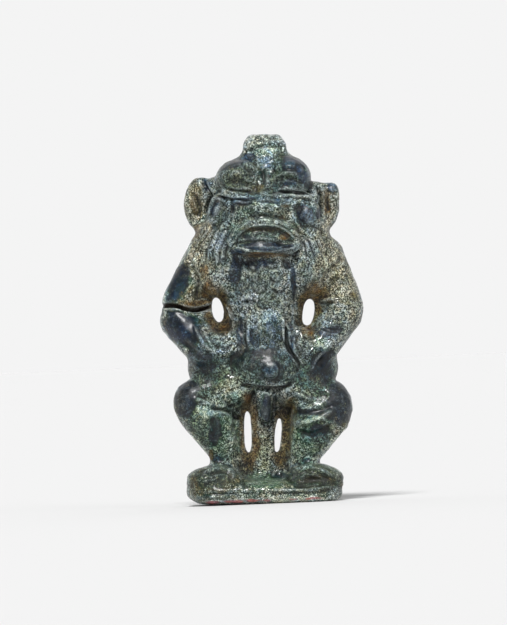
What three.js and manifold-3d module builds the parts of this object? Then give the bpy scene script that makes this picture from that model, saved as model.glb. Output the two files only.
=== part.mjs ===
// A pocket-sized glazed amulet: a squat, bow-legged Bes with his hands on his hips,
// standing on a thin plinth, with a pierced tube on his head for a cord.
// Millimetres, +Z up. The figure faces -Y, and its own right arm is on the -X side.
import * as THREE from "three";
import { mergeVertices } from "three/addons/utils/BufferGeometryUtils.js";
import Module from "manifold-3d";

// Driving dimensions
const figureHeight = 34.5; // soles to crown
const plinthWidth = 16; // across the feet
const plinthDepth = 9.2; // front to back
const plinthHeight = 1.15; // underside to soles
const plinthRound = 3.6; // corners, seen from above
const plinthShoulder = 2.5; // its rounded edges: how far they come in
const plinthEase = 1.2; // and how high they reach
const plinthMiddle = 0.15; // its centre, to the side of the body's middle line
const plinthSetBack = -0.15; // its centre, behind the body's middle line
const loopWidth = 4.5; // the cord tube, along X
const loopRadius = 1.5; // outside of the tube
const loopRise = 0.75; // tube's axis above the crown
const loopEase = 0.95; // rounding of the tube's ends
const boreRadius = 0.6; // hole for the cord
const armHoleWidth = 1.2;
const armHoleHeight = 2.8;
const legSlotWidth = 0.78;
const legSlotHeight = 4.5;
const seatSlope = 2.4; // degrees that the underside is out of square with the body
const headCell = 0.3; // spacing of the first, fine facets on the head
const bodyCell = 0.5; // and below the shoulders
const facetCount = 9000; // of the skin after thinning, before the holes are cut

// The carver's grid: the body's places and radii are in hundredths of figureHeight,
// measured from the middle of the soles.
const share = figureHeight / 100;
const plinthSkirt = 0.12; // clay below the underside, trimmed off when it is cut flat

// The clay: rounded lumps that melt into each other, and hollows scooped out of them

const lerp = (a, b, t) => a + (b - a) * t;

function softMin(a, b, melt) {
  const overlap = Math.max(melt - Math.abs(a - b), 0) / melt;
  return Math.min(a, b) - (overlap * overlap * melt) / 4;
}

// An ellipsoid. lean turns it about Y, in degrees, clockwise as seen from the front.
function lump(centre, radii, melt = 2, lean = 0) {
  const [cx, cy, cz] = centre;
  const [rx, ry, rz] = radii;
  const cos = Math.cos(THREE.MathUtils.degToRad(lean));
  const sin = Math.sin(THREE.MathUtils.degToRad(lean));
  return {
    melt,
    distance(x, y, z) {
      const dx = x - cx;
      const dz = z - cz;
      const px = (cos * dx - sin * dz) / rx;
      const py = (y - cy) / ry;
      const pz = (sin * dx + cos * dz) / rz;
      const near = Math.hypot(px, py, pz);
      const steep = Math.hypot(px / rx, py / ry, pz / rz);
      return near < 1e-6 ? -Math.min(rx, ry, rz) : (near * (near - 1)) / steep;
    },
  };
}

// A limb that tapers from one ball to another. depth squashes it front to back.
function limb(from, to, fromRadius, toRadius, melt = 2, depth = 1) {
  const along = to.map((v, i) => v - from[i]);
  along[1] /= depth;
  const length2 = along.reduce((sum, v) => sum + v * v, 0);
  return {
    melt,
    distance(x, y, z) {
      const p = [x - from[0], (y - from[1]) / depth, z - from[2]];
      const reach = (p[0] * along[0] + p[1] * along[1] + p[2] * along[2]) / length2;
      const t = Math.min(Math.max(reach, 0), 1);
      const gap = Math.hypot(...p.map((v, i) => v - t * along[i]));
      return (gap - lerp(fromRadius, toRadius, t)) * Math.min(1, depth);
    },
  };
}

// A box with rounded edges
function slab(centre, halves, round, melt = 2) {
  return {
    melt,
    distance(x, y, z) {
      const q = [x, y, z].map((v, i) => Math.abs(v - centre[i]) - halves[i] + round);
      const outside = Math.hypot(...q.map((v) => Math.max(v, 0)));
      return outside + Math.min(Math.max(...q), 0) - round;
    },
  };
}

// A ridge bent round an arc in the front plane, its ends set back from its middle
function arch(centre, radius, fromAngle, toAngle, thick, setBack, melt = 1) {
  const pieces = [];
  const steps = 6;
  const at = (k) => {
    const angle = THREE.MathUtils.degToRad(lerp(fromAngle, toAngle, k / steps));
    const side = Math.cos(angle);
    return [
      centre[0] + radius * side,
      centre[1] + setBack * side * side,
      centre[2] + radius * Math.sin(angle),
    ];
  };
  for (let k = 0; k < steps; k++) {
    pieces.push(limb(at(k), at(k + 1), thick, thick, melt));
  }
  return pieces;
}

const sides = [-1, 1];

function head() {
  return [
    lump([0.3, 1.5, 85], [14, 11.5, 13.6]),
    lump([-7.4, -3.2, 93], [6.7, 8.2, 5.9], 2),
    lump([7.3, -3.2, 93.4], [7, 8.2, 6.6], 2),
    lump([0.4, 0, 97.5], [8, 6, 4.4], 3),
    limb([0.8, -4.2, 98.4], [0.4, -9, 90], 3, 1.6, 2),
    lump([-7.6, -8.6, 89.7], [5, 2.4, 1.7], 0.8),
    lump([7.4, -8.6, 90], [5, 2.4, 1.7], 0.8),
  ];
}

function face() {
  return [
    lump([0.6, -1.6, 81.4], [16.2, 9.8, 10], 1.5),
    limb([-13.4, -6.4, 87], [0.5, -11, 87], 1.7, 2, 1.5),
    limb([15.4, -6.4, 87.2], [0.5, -11, 87], 1.7, 2, 1.5),
    lump([0.7, -10.8, 84.6], [5.4, 3.4, 2.9], 1.5),
    lump([-13.8, -6, 83.2], [2.9, 3.8, 5], 0.8, 14),
    lump([13.3, -6.2, 82.4], [4.3, 4, 4.6], 0.8),
    lump([0.5, -5.4, 76.8], [11.2, 8, 9.6], 1.2),
  ];
}

// The wide, turned-down mouth: a raised upper lip over a hollow, then tongue and lower lip
function mouth() {
  return {
    hollow: lump([0.5, -14.6, 72.6], [9.4, 3.6, 6.6], 0.8),
    upperLip: arch([0.4, -12.2, 68.4], 11.2, 28, 152, 1.3, 3.2, 0.8),
    lowerLip: lump([0.6, -10.8, 72.3], [9.8, 3.4, 2.1], 0.8),
    tongue: lump([0, -11.4, 74.2], [4.8, 2.8, 2.3], 0.8),
    underLip: limb([-6.8, -12.9, 69.5], [8.4, -12.9, 69.7], 0.9, 0.9, 0.8),
  };
}

function ears() {
  return [
    lump([-18.3, 1, 85.6], [5.3, 3.8, 8.2], 1.5),
    lump([-14.4, -1, 89.4], [3.6, 3.4, 4.2], 1.5),
    lump([18.6, 1, 85.2], [4.2, 3.8, 6.9], 1.5),
    lump([20.6, 0.4, 89.5], [2, 2.6, 2.6], 1.2),
    lump([15.4, -0.5, 88.2], [3.4, 3.4, 4.3], 1.5),
  ];
}

function earHollows() {
  return [
    lump([-18.9, -5, 84.8], [3, 3.6, 5.6], 1.5),
    lump([18.7, -4.8, 84.6], [2.4, 3.4, 5], 1.5),
  ];
}

function mane() {
  const pieces = [lump([0.5, 4.6, 77], [15.5, 9, 18], 2)];
  for (const side of sides) {
    pieces.push(
      lump([11.2 * side, -0.5, 76.5], [8.6, 8.8, 10], 3),
      lump([12.6 * side, -0.5, 66.5], [8.8, 8.4, 9.6], 3),
    );
  }
  return pieces;
}

function arms() {
  return [
    limb([-17.4, 0.5, 71.6], [-24.9, 1, 57], 5, 5.1, 2, 1.1),
    limb([18.6, 0.5, 70.4], [24.2, 1, 56.4], 5.5, 5.5, 2, 1.1),
    limb([-24.8, 0.5, 51], [-17.4, -3, 42.8], 5.9, 5.8, 2, 1.1),
    limb([24.2, 0.5, 53], [17.2, -3, 43], 5.4, 5.1, 2, 1.1),
    lump([-12, -5.6, 43.6], [6.4, 3.2, 4.2], 1.5, -14),
    lump([11.4, -5.6, 43.6], [4.6, 3.2, 6.2], 1.5, -20),
  ];
}

function torso() {
  return [
    lump([0, 1, 58], [12.2, 9, 20], 3),
    lump([0.2, 1.5, 42], [12, 9.4, 12], 3),
    limb([0.9, -2.8, 66.4], [0.9, -3.4, 47], 8.6, 6.6, 2),
    lump([1, -4.2, 38], [9.4, 6.8, 8], 0.8),
    lump([1.9, -9.2, 37.2], [4, 2.6, 4.4], 0.8),
  ];
}

function legs() {
  const pieces = [];
  for (const side of sides) {
    pieces.push(
      lump([13.4 * side, 1.5, 37.2], [9, 8, 8.6], 3),
      limb([9.4 * side, -1, 31.6], [19.4 * side, -2.6, 28.6], 6.6, 5, 2),
      lump([7 * side, 6.5, 36], [7.5, 6.5, 8], 2.5),
    );
  }
  pieces.push(
    limb([-16.4, -1.5, 22.8], [-10.4, 0, 9.4], 8.1, 3.8, 0.6, 0.95),
    limb([16.7, -1.5, 22.4], [11.7, 0, 9], 8.8, 3.9, 0.6, 0.95),
    lump([-20.9, -2, 26.5], [5.8, 6.6, 6.7], 1.5),
    lump([20.9, -2, 25.5], [5.8, 6.6, 7.1], 1.5),
  );
  return pieces;
}

function feet() {
  return [
    limb([-11, 2, 8], [-13.6, -3, 4], 4.2, 4.4, 1.5),
    limb([11.8, 2, 8], [14.6, -3, 4], 4.2, 4.6, 1.5),
    lump([-14.3, -4.6, 3.6], [8.5, 7.8, 4.4], 1),
    lump([15.2, -4.6, 4], [8.9, 7.8, 4.7], 1),
  ];
}

function tailAndLoin() {
  return [
    limb([0, 3.5, 38], [-0.2, 3.5, 0], 4.2, 3.4, 2, 1.3),
    limb([0.4, -4.6, 29], [0.6, -4.2, 22.2], 2.6, 2, 1),
    slab([0, 2.4, 15], [12, 2.8, 16], 1.5, 2),
  ];
}

function armWebs() {
  return sides.map((side) => slab([14.5 * side, 1.2, 53], [6, 3, 11], 1.5, 2));
}

const lips = mouth();
const lumps = [
  ...mane(),
  ...torso(),
  ...legs(),
  ...feet(),
  ...tailAndLoin(),
  ...armWebs(),
  ...arms(),
  ...head(),
  ...ears(),
  ...face(),
];
const hollows = [...earHollows(), lips.hollow, lips.underLip];
const lipLumps = [...lips.upperLip, lips.lowerLip, lips.tongue];

// Distance from a point, in shares, to the body's surface: negative inside
function bodyDistance(x, y, z) {
  let d = Infinity;
  for (const piece of lumps) {
    d = softMin(d, piece.distance(x, y, z), piece.melt);
  }
  for (const hollow of hollows) {
    d = -softMin(-d, hollow.distance(x, y, z), hollow.melt);
  }
  for (const piece of lipLumps) {
    d = softMin(d, piece.distance(x, y, z), piece.melt);
  }
  return d;
}

// The plinth and the cord tube, in millimetres

function plinthDistance(x, y, z) {
  const qx = Math.abs(x - plinthMiddle) - plinthWidth / 2 + plinthRound;
  const qy = Math.abs(y - plinthSetBack) - plinthDepth / 2 + plinthRound;
  const across = Math.hypot(Math.max(qx, 0), Math.max(qy, 0)) + Math.min(Math.max(qx, qy), 0);
  const squash = plinthEase / plinthShoulder;
  const out = (across - plinthRound + plinthShoulder) * squash;
  const up = Math.abs(z) - plinthHeight - plinthSkirt + plinthEase;
  return Math.hypot(Math.max(out, 0), Math.max(up, 0)) + Math.min(Math.max(out, up), 0) - plinthEase;
}

function loopDistance(x, y, z) {
  const away = Math.hypot(y, z - figureHeight - loopRise) - loopRadius + loopEase;
  const end = Math.abs(x - 0.15) - loopWidth / 2 + loopEase;
  const outside = Math.hypot(Math.max(away, 0), Math.max(end, 0));
  return outside + Math.min(Math.max(away, end), 0) - loopEase;
}

function sculpture(x, y, z) {
  const body = bodyDistance(x / share, y / share, z / share) * share;
  return softMin(softMin(body, plinthDistance(x, y, z), 0.5), loopDistance(x, y, z), 0.8);
}

// Surface nets: one vertex in each cell that the surface crosses, pulled onto the surface

function skin(distance, reach, levels) {
  const nx = 2 * Math.ceil(reach[0] / headCell) + 1;
  const ny = 2 * Math.ceil(reach[1] / headCell) + 1;
  const nz = levels.length;
  const at = (i, j, k) => i + nx * (j + ny * k);
  const place = (i, j, k) => {
    const cell = cellAt(levels[k]);
    return [(i - (nx - 1) / 2) * cell, (j - (ny - 1) / 2) * cell, levels[k]];
  };
  const value = new Float64Array(nx * ny * nz);
  for (let k = 0; k < nz; k++)
    for (let j = 0; j < ny; j++)
      for (let i = 0; i < nx; i++) value[at(i, j, k)] = distance(...place(i, j, k));

  const steps = [at(1, 0, 0), at(0, 1, 0), at(0, 0, 1)];
  closePinches(value, steps);

  const corners = [0, 1, 2, 3, 4, 5, 6, 7].map((n) => [n & 1, (n >> 1) & 1, n >> 2]);
  const edges = [];
  for (let a = 0; a < 8; a++)
    for (const bit of [1, 2, 4]) if (!(a & bit)) edges.push([a, a | bit]);

  const points = [];
  const pointOf = new Int32Array(value.length).fill(-1);
  for (let k = 0; k < nz - 1; k++)
    for (let j = 0; j < ny - 1; j++)
      for (let i = 0; i < nx - 1; i++) {
        const corner = corners.map(([a, b, c]) => value[at(i + a, j + b, k + c)]);
        if (corner.every((v) => v < 0) || corner.every((v) => v >= 0)) continue;
        const spots = corners.map(([a, b, c]) => place(i + a, j + b, k + c));
        const spot = new THREE.Vector3();
        let crossings = 0;
        for (const [a, b] of edges) {
          if (corner[a] < 0 === corner[b] < 0) continue;
          const t = corner[a] / (corner[a] - corner[b]);
          spot.add(new THREE.Vector3(...spots[a].map((v, n) => lerp(v, spots[b][n], t))));
          crossings++;
        }
        spot.divideScalar(crossings);
        pointOf[at(i, j, k)] = points.length;
        points.push(onSurface(distance, spot, cellAt(levels[k])));
      }

  const facets = [];
  for (let k = 1; k < nz - 1; k++)
    for (let j = 1; j < ny - 1; j++)
      for (let i = 1; i < nx - 1; i++)
        for (let axis = 0; axis < 3; axis++) {
          const here = at(i, j, k);
          const solid = value[here] < 0;
          if (solid === value[here + steps[axis]] < 0) continue;
          const u = steps[(axis + 1) % 3];
          const v = steps[(axis + 2) % 3];
          const ring = [here - u - v, here - v, here, here - u].map((n) => pointOf[n]);
          if (!solid) ring.reverse();
          const [a, b, c, d] = betterSplit(distance, points, ring);
          facets.push([a, b, c], [a, c, d]);
        }
  return { points, facets };
}

// Fills a grid corner wherever the surface would otherwise touch itself along a line
function closePinches(value, steps) {
  const filled = -1e-3;
  let changed = true;
  while (changed) {
    changed = false;
    for (const [u, v] of [[0, 1], [1, 2], [0, 2]]) {
      const ring = [0, steps[u], steps[u] + steps[v], steps[v]];
      for (let n = 0; n + ring[2] < value.length; n++) {
        const solid = ring.map((step) => value[n + step] < 0);
        if (solid[0] !== solid[2] || solid[1] !== solid[3] || solid[0] === solid[1]) continue;
        value[n + ring[solid[0] ? 1 : 0]] = filled;
        changed = true;
      }
    }
  }
}

// Starts a four-cornered facet at the corner whose fold line lies closer to the surface
function betterSplit(distance, points, ring) {
  const offFold = ([a, , c]) => {
    const fold = points[a].clone().lerp(points[c], 0.5);
    return Math.abs(distance(fold.x, fold.y, fold.z));
  };
  const turned = [...ring.slice(1), ring[0]];
  return offFold(ring) <= offFold(turned) ? ring : turned;
}

// Slides a point down the distance's slope onto the surface, staying near its cell
function onSurface(distance, point, cell) {
  const nudge = cell / 50;
  const { x, y, z } = point;
  const d = distance(x, y, z);
  const slope = new THREE.Vector3(
    distance(x + nudge, y, z) - d,
    distance(x, y + nudge, z) - d,
    distance(x, y, z + nudge) - d,
  ).divideScalar(nudge);
  const step = -d / Math.max(slope.lengthSq(), 0.2);
  return point.clone().add(slope.multiplyScalar(step).clampLength(0, cell / 2));
}

// Facet thinning: edges are merged into single points, those that change the shape least first.
// A bend is ten sums that give the squared distance from a point to all the facets it stands for.

function bendOf(a, b, c) {
  const normal = new THREE.Vector3().subVectors(b, a).cross(new THREE.Vector3().subVectors(c, a));
  const area = normal.length() / 2;
  const { x, y, z } = normal.normalize();
  const w = -normal.dot(a);
  return [x * x, x * y, x * z, x * w, y * y, y * z, y * w, z * z, z * w, w * w].map((v) => v * area);
}

// The point that two merged ends move to, and the error there
function mergedPoint(bend, from, to) {
  const stiffness = 1e-4;
  const middle = from.clone().lerp(to, 0.5);
  const [xx, xy, xz, xw, yy, yz, yw, zz, zw, ww] = bend;
  const spot = middle.clone().multiplyScalar(stiffness).sub(new THREE.Vector3(xw, yw, zw));
  spot.applyMatrix3(
    new THREE.Matrix3(
      xx + stiffness, xy, xz,
      xy, yy + stiffness, yz,
      xz, yz, zz + stiffness,
    ).invert(),
  );
  if (spot.distanceTo(middle) > from.distanceTo(to)) spot.copy(middle);
  const { x, y, z } = spot;
  const error =
    x * (xx * x + 2 * (xy * y + xz * z + xw)) + y * (yy * y + 2 * (yz * z + yw)) + z * (zz * z + 2 * zw) + ww;
  return { spot, error };
}

function thinOut({ points, facets }, target) {
  const around = points.map(() => new Set());
  const bends = points.map(() => new Array(10).fill(0));
  facets.forEach((facet, n) => {
    const bend = bendOf(...facet.map((p) => points[p]));
    for (const p of facet) {
      around[p].add(n);
      bend.forEach((v, i) => (bends[p][i] += v));
    }
  });
  const neighbours = (p) => new Set([...around[p]].flatMap((n) => facets[n]).filter((q) => q !== p));
  const normalOf = (corners) => {
    const [a, b, c] = corners;
    return new THREE.Vector3().subVectors(b, a).cross(new THREE.Vector3().subVectors(c, a)).normalize();
  };
  const keepsFacing = (p, q, spot) =>
    [...around[p]].every((n) => {
      if (facets[n].includes(q)) return true;
      const before = normalOf(facets[n].map((corner) => points[corner]));
      const after = normalOf(facets[n].map((corner) => (corner === p ? spot : points[corner])));
      return before.dot(after) > 0.5;
    });

  let left = facets.length;
  let allowed = 1e-8;
  while (left > target) {
    for (let n = 0; n < facets.length && left > target; n++) {
      if (!facets[n]) continue;
      for (let k = 0; k < 3; k++) {
        const p = facets[n][k];
        const q = facets[n][(k + 1) % 3];
        const bend = bends[p].map((v, i) => v + bends[q][i]);
        const { spot, error } = mergedPoint(bend, points[p], points[q]);
        if (error > allowed) continue;
        const shared = neighbours(q);
        if ([...neighbours(p)].filter((corner) => shared.has(corner)).length !== 2) continue;
        if (!keepsFacing(p, q, spot) || !keepsFacing(q, p, spot)) continue;
        points[p] = spot;
        bends[p] = bend;
        for (const m of around[q]) {
          if (facets[m].includes(p)) {
            for (const corner of facets[m]) around[corner].delete(m);
            facets[m] = null;
            left--;
          } else {
            facets[m] = facets[m].map((corner) => (corner === q ? p : corner));
            around[p].add(m);
          }
        }
        break;
      }
    }
    allowed *= 1.6;
  }
  const geometry = new THREE.BufferGeometry();
  const corners = facets.filter(Boolean).flat().map((p) => points[p]);
  geometry.setFromPoints(corners);
  return geometry;
}

// Solids that are cut out of the skin

const wasm = await Module();
wasm.setup();

function solidOf(geometry) {
  const bare = geometry.clone();
  bare.deleteAttribute("normal");
  bare.deleteAttribute("uv");
  const merged = mergeVertices(bare, 1e-5);
  return new wasm.Manifold(
    new wasm.Mesh({
      numProp: 3,
      vertProperties: merged.attributes.position.array,
      triVerts: new Uint32Array(merged.index.array),
    }),
  );
}

function geometryOf(solid) {
  const { vertProperties, triVerts } = solid.getMesh();
  const geometry = new THREE.BufferGeometry();
  geometry.setAttribute("position", new THREE.BufferAttribute(vertProperties, 3));
  geometry.setIndex(new THREE.BufferAttribute(triVerts, 1));
  return geometry;
}

// An upright hole, right through from front to back. fullness 1 is an oval, and below it is
// squarer. lean tips its top towards +X, in degrees.
function holeCutter(width, height, x, z, lean, fullness) {
  const corners = [];
  const count = 20;
  for (let k = 0; k < count; k++) {
    const angle = (2 * Math.PI * k) / count;
    const squared = (v) => Math.sign(v) * Math.abs(v) ** fullness;
    corners.push(
      new THREE.Vector2((squared(Math.cos(angle)) * width) / 2, (squared(Math.sin(angle)) * height) / 2),
    );
  }
  const geometry = new THREE.ExtrudeGeometry(new THREE.Shape(corners), { depth: 40, bevelEnabled: false });
  geometry.rotateX(Math.PI / 2);
  geometry.rotateY(THREE.MathUtils.degToRad(lean));
  geometry.translate(x * share, 20, z * share);
  return solidOf(geometry);
}

function boreCutter() {
  const geometry = new THREE.CylinderGeometry(boreRadius, boreRadius, 4 * loopWidth, 24);
  geometry.rotateZ(Math.PI / 2);
  geometry.translate(0, 0, figureHeight + loopRise);
  return solidOf(geometry);
}

// The cells are small on the head, and grow over the neck to the body's
function cellAt(z) {
  const neck = THREE.MathUtils.smoothstep(z, 0.6 * figureHeight, 0.7 * figureHeight);
  return lerp(bodyCell, headCell, neck);
}

function build() {
  const levels = [-plinthHeight - 2 * bodyCell];
  while (levels.at(-1) < figureHeight + loopRise + loopRadius + headCell) {
    levels.push(levels.at(-1) + cellAt(levels.at(-1)));
  }
  const fine = skin(sculpture, [0.29 * figureHeight, 0.18 * figureHeight], levels);
  let solid = solidOf(thinOut(fine, facetCount));
  solid = solid
    .subtract(holeCutter(armHoleWidth, armHoleHeight * 0.93, -13.5, 54.2, -9, 0.95))
    .subtract(holeCutter(armHoleWidth, armHoleHeight, 13.5, 53.5, 8, 0.8))
    .subtract(holeCutter(legSlotWidth, legSlotHeight * 0.97, -4.5, 17.8, -2, 0.8))
    .subtract(holeCutter(legSlotWidth * 0.9, legSlotHeight * 0.8, 4.5, 16.9, 5, 0.8))
    .subtract(boreCutter());
  return solid;
}

function finished() {
  const geometry = geometryOf(build());
  geometry.translate(0, 0, plinthHeight);
  geometry.rotateY(THREE.MathUtils.degToRad(seatSlope));
  const ground = new THREE.BoxGeometry(60, 60, 40);
  ground.translate(0, 0, -20);
  return geometryOf(solidOf(geometry).subtract(solidOf(ground)));
}

const glaze = new THREE.MeshStandardMaterial({
  name: "weathered_glaze",
  color: 0x3f4d50,
  roughness: 0.4,
  metalness: 0,
});

const figure = new THREE.Mesh(finished(), glaze);
figure.name = "bes_figure";
figure.geometry.computeBoundingBox();
const box = figure.geometry.boundingBox;
figure.position.set(-(box.min.x + box.max.x) / 2, -(box.min.y + box.max.y) / 2, 0);

const amulet = new THREE.Group();
amulet.add(figure);

export default amulet;
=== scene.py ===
import math

import bpy
import numpy as np
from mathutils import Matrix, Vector, noise


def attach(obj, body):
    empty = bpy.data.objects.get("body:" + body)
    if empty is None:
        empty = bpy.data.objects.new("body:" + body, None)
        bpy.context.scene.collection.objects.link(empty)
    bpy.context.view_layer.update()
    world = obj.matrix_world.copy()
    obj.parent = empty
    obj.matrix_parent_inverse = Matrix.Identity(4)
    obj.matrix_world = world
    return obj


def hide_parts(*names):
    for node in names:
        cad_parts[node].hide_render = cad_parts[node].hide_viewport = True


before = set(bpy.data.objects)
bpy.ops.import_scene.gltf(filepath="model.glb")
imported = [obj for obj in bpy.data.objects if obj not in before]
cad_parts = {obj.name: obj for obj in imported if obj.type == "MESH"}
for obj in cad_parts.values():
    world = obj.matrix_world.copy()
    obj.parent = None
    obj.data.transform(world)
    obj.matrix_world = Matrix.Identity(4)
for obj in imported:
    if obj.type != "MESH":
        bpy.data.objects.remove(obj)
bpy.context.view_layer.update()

# Places on the figure are in hundredths of its height, from the middle of the soles:
# across, then up, as seen from the front. Sizes in metres are worked out from that share.
seat = {
    "share": 0.345e-3,
    "lean": math.radians(2.4),  # the underside is out of square with the body
    "soleMiddle": (-0.633e-3, 0.102e-3, 1.149e-3),
}
acrossWay = np.array([math.cos(seat["lean"]), 0, -math.sin(seat["lean"])])
upWay = np.array([math.sin(seat["lean"]), 0, math.cos(seat["lean"])])
bodyAxes = np.array([acrossWay, (0, 1, 0), upWay])


def toShares(points):
    return (points - np.array(seat["soleMiddle"])) @ bodyAxes.T / seat["share"]


def toMetres(places):
    return places * seat["share"] @ bodyAxes + np.array(seat["soleMiddle"])


def smoothStep(low, high, value):
    t = np.clip((value - low) / (high - low), 0, 1)
    return t * t * (3 - 2 * t)


# Reading and writing a mesh as arrays

def readPoints(mesh):
    flat = np.empty(len(mesh.vertices) * 3, np.float32)
    mesh.vertices.foreach_get("co", flat)
    return flat.reshape(-1, 3).astype(float)


def readNormals(mesh):
    flat = np.empty(len(mesh.vertices) * 3, np.float32)
    mesh.vertex_normals.foreach_get("vector", flat)
    return flat.reshape(-1, 3).astype(float) @ bodyAxes.T


def readEdges(mesh):
    flat = np.empty(len(mesh.edges) * 2, np.int32)
    mesh.edges.foreach_get("vertices", flat)
    return flat.reshape(-1, 2)


def writePoints(mesh, points):
    mesh.vertices.foreach_set("co", points.astype(np.float32).ravel())
    mesh.update()


def writeMask(mesh, name, values):
    layer = mesh.attributes.new(name, "FLOAT", "POINT")
    layer.data.foreach_set("value", np.clip(values, 0, 1).astype(np.float32))


def relaxed(values, edges, times):
    # each point takes the mean of its neighbours, several times over
    count = len(values)
    a, b = edges[:, 0], edges[:, 1]
    degree = np.maximum(np.bincount(a, minlength=count) + np.bincount(b, minlength=count), 1)
    columns = values.reshape(count, -1).T.copy()
    for _ in range(times):
        for k, column in enumerate(columns):
            total = np.bincount(a, column[b], count) + np.bincount(b, column[a], count)
            columns[k] = (column + total / degree) / 2
    return columns.T.reshape(values.shape)


# The clay: the solid's own skin, with even small faces

clay = {
    "grain": 0.1e-3,    # size of a face
    "settle": 6,        # rounds of smoothing that take away the solid's flat facets
    "soften": 320,      # further rounds, in the creases
    "faces": 190000,
    "depth": 1.5,       # how much deeper all the carving is cut than its lists say
    "faceDepth": 0.95,  # the same on the face, which stands out already
    "face": (0.5, 78.5, 14, 10),
    "faceEdge": (1.1, 0.8),  # where on that ellipse the face's depth starts and is full
    "front": (0.05, 0.45),   # how far forward the skin faces where carving starts and is full
    "crackFront": (-0.2, 0.2),  # the same for the crack, which runs on round the arm
    "creaseEdge": (1, 0.5),  # where on a crease's ellipse the softness starts and is full
    "creaseFront": (2, -2),  # the same from the middle of the body forward
    "spacing": 0.12,         # from point to point along a cut
    "reach": 1.6,            # how many half widths a cut reaches
    "taper": 6,              # how quickly a cut grows from its tips, and how deep these are
    "tip": 0.3,
    "lumps": ((0.1, 2.6, 1), (0.05, 1.1, 2)),  # unevenness: height, size and seed
    "seedStep": (17.3, 5.1, 9.7),  # how far apart the noises of two seeds lie
    "swing": 1.6,                  # brings a noise to about -1 to 1
}


def evenSkin(node, grain, name):
    mesh = node.data.copy()
    piece = bpy.data.objects.new(name, mesh)
    bpy.context.scene.collection.objects.link(piece)
    mesh.materials.clear()
    remesh = piece.modifiers.new("even faces", "REMESH")
    remesh.mode = "VOXEL"
    remesh.voxel_size = grain
    applyModifiers(piece)
    return piece


def applyModifiers(piece):
    depsgraph = bpy.context.evaluated_depsgraph_get()
    done = bpy.data.meshes.new_from_object(piece.evaluated_get(depsgraph))
    done.name = piece.name
    piece.modifiers.clear()
    piece.data = done


# Carving: each cut is a line through some places, with its half width and its height.
# A height below nothing is a groove, and above it is a ridge.

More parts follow.
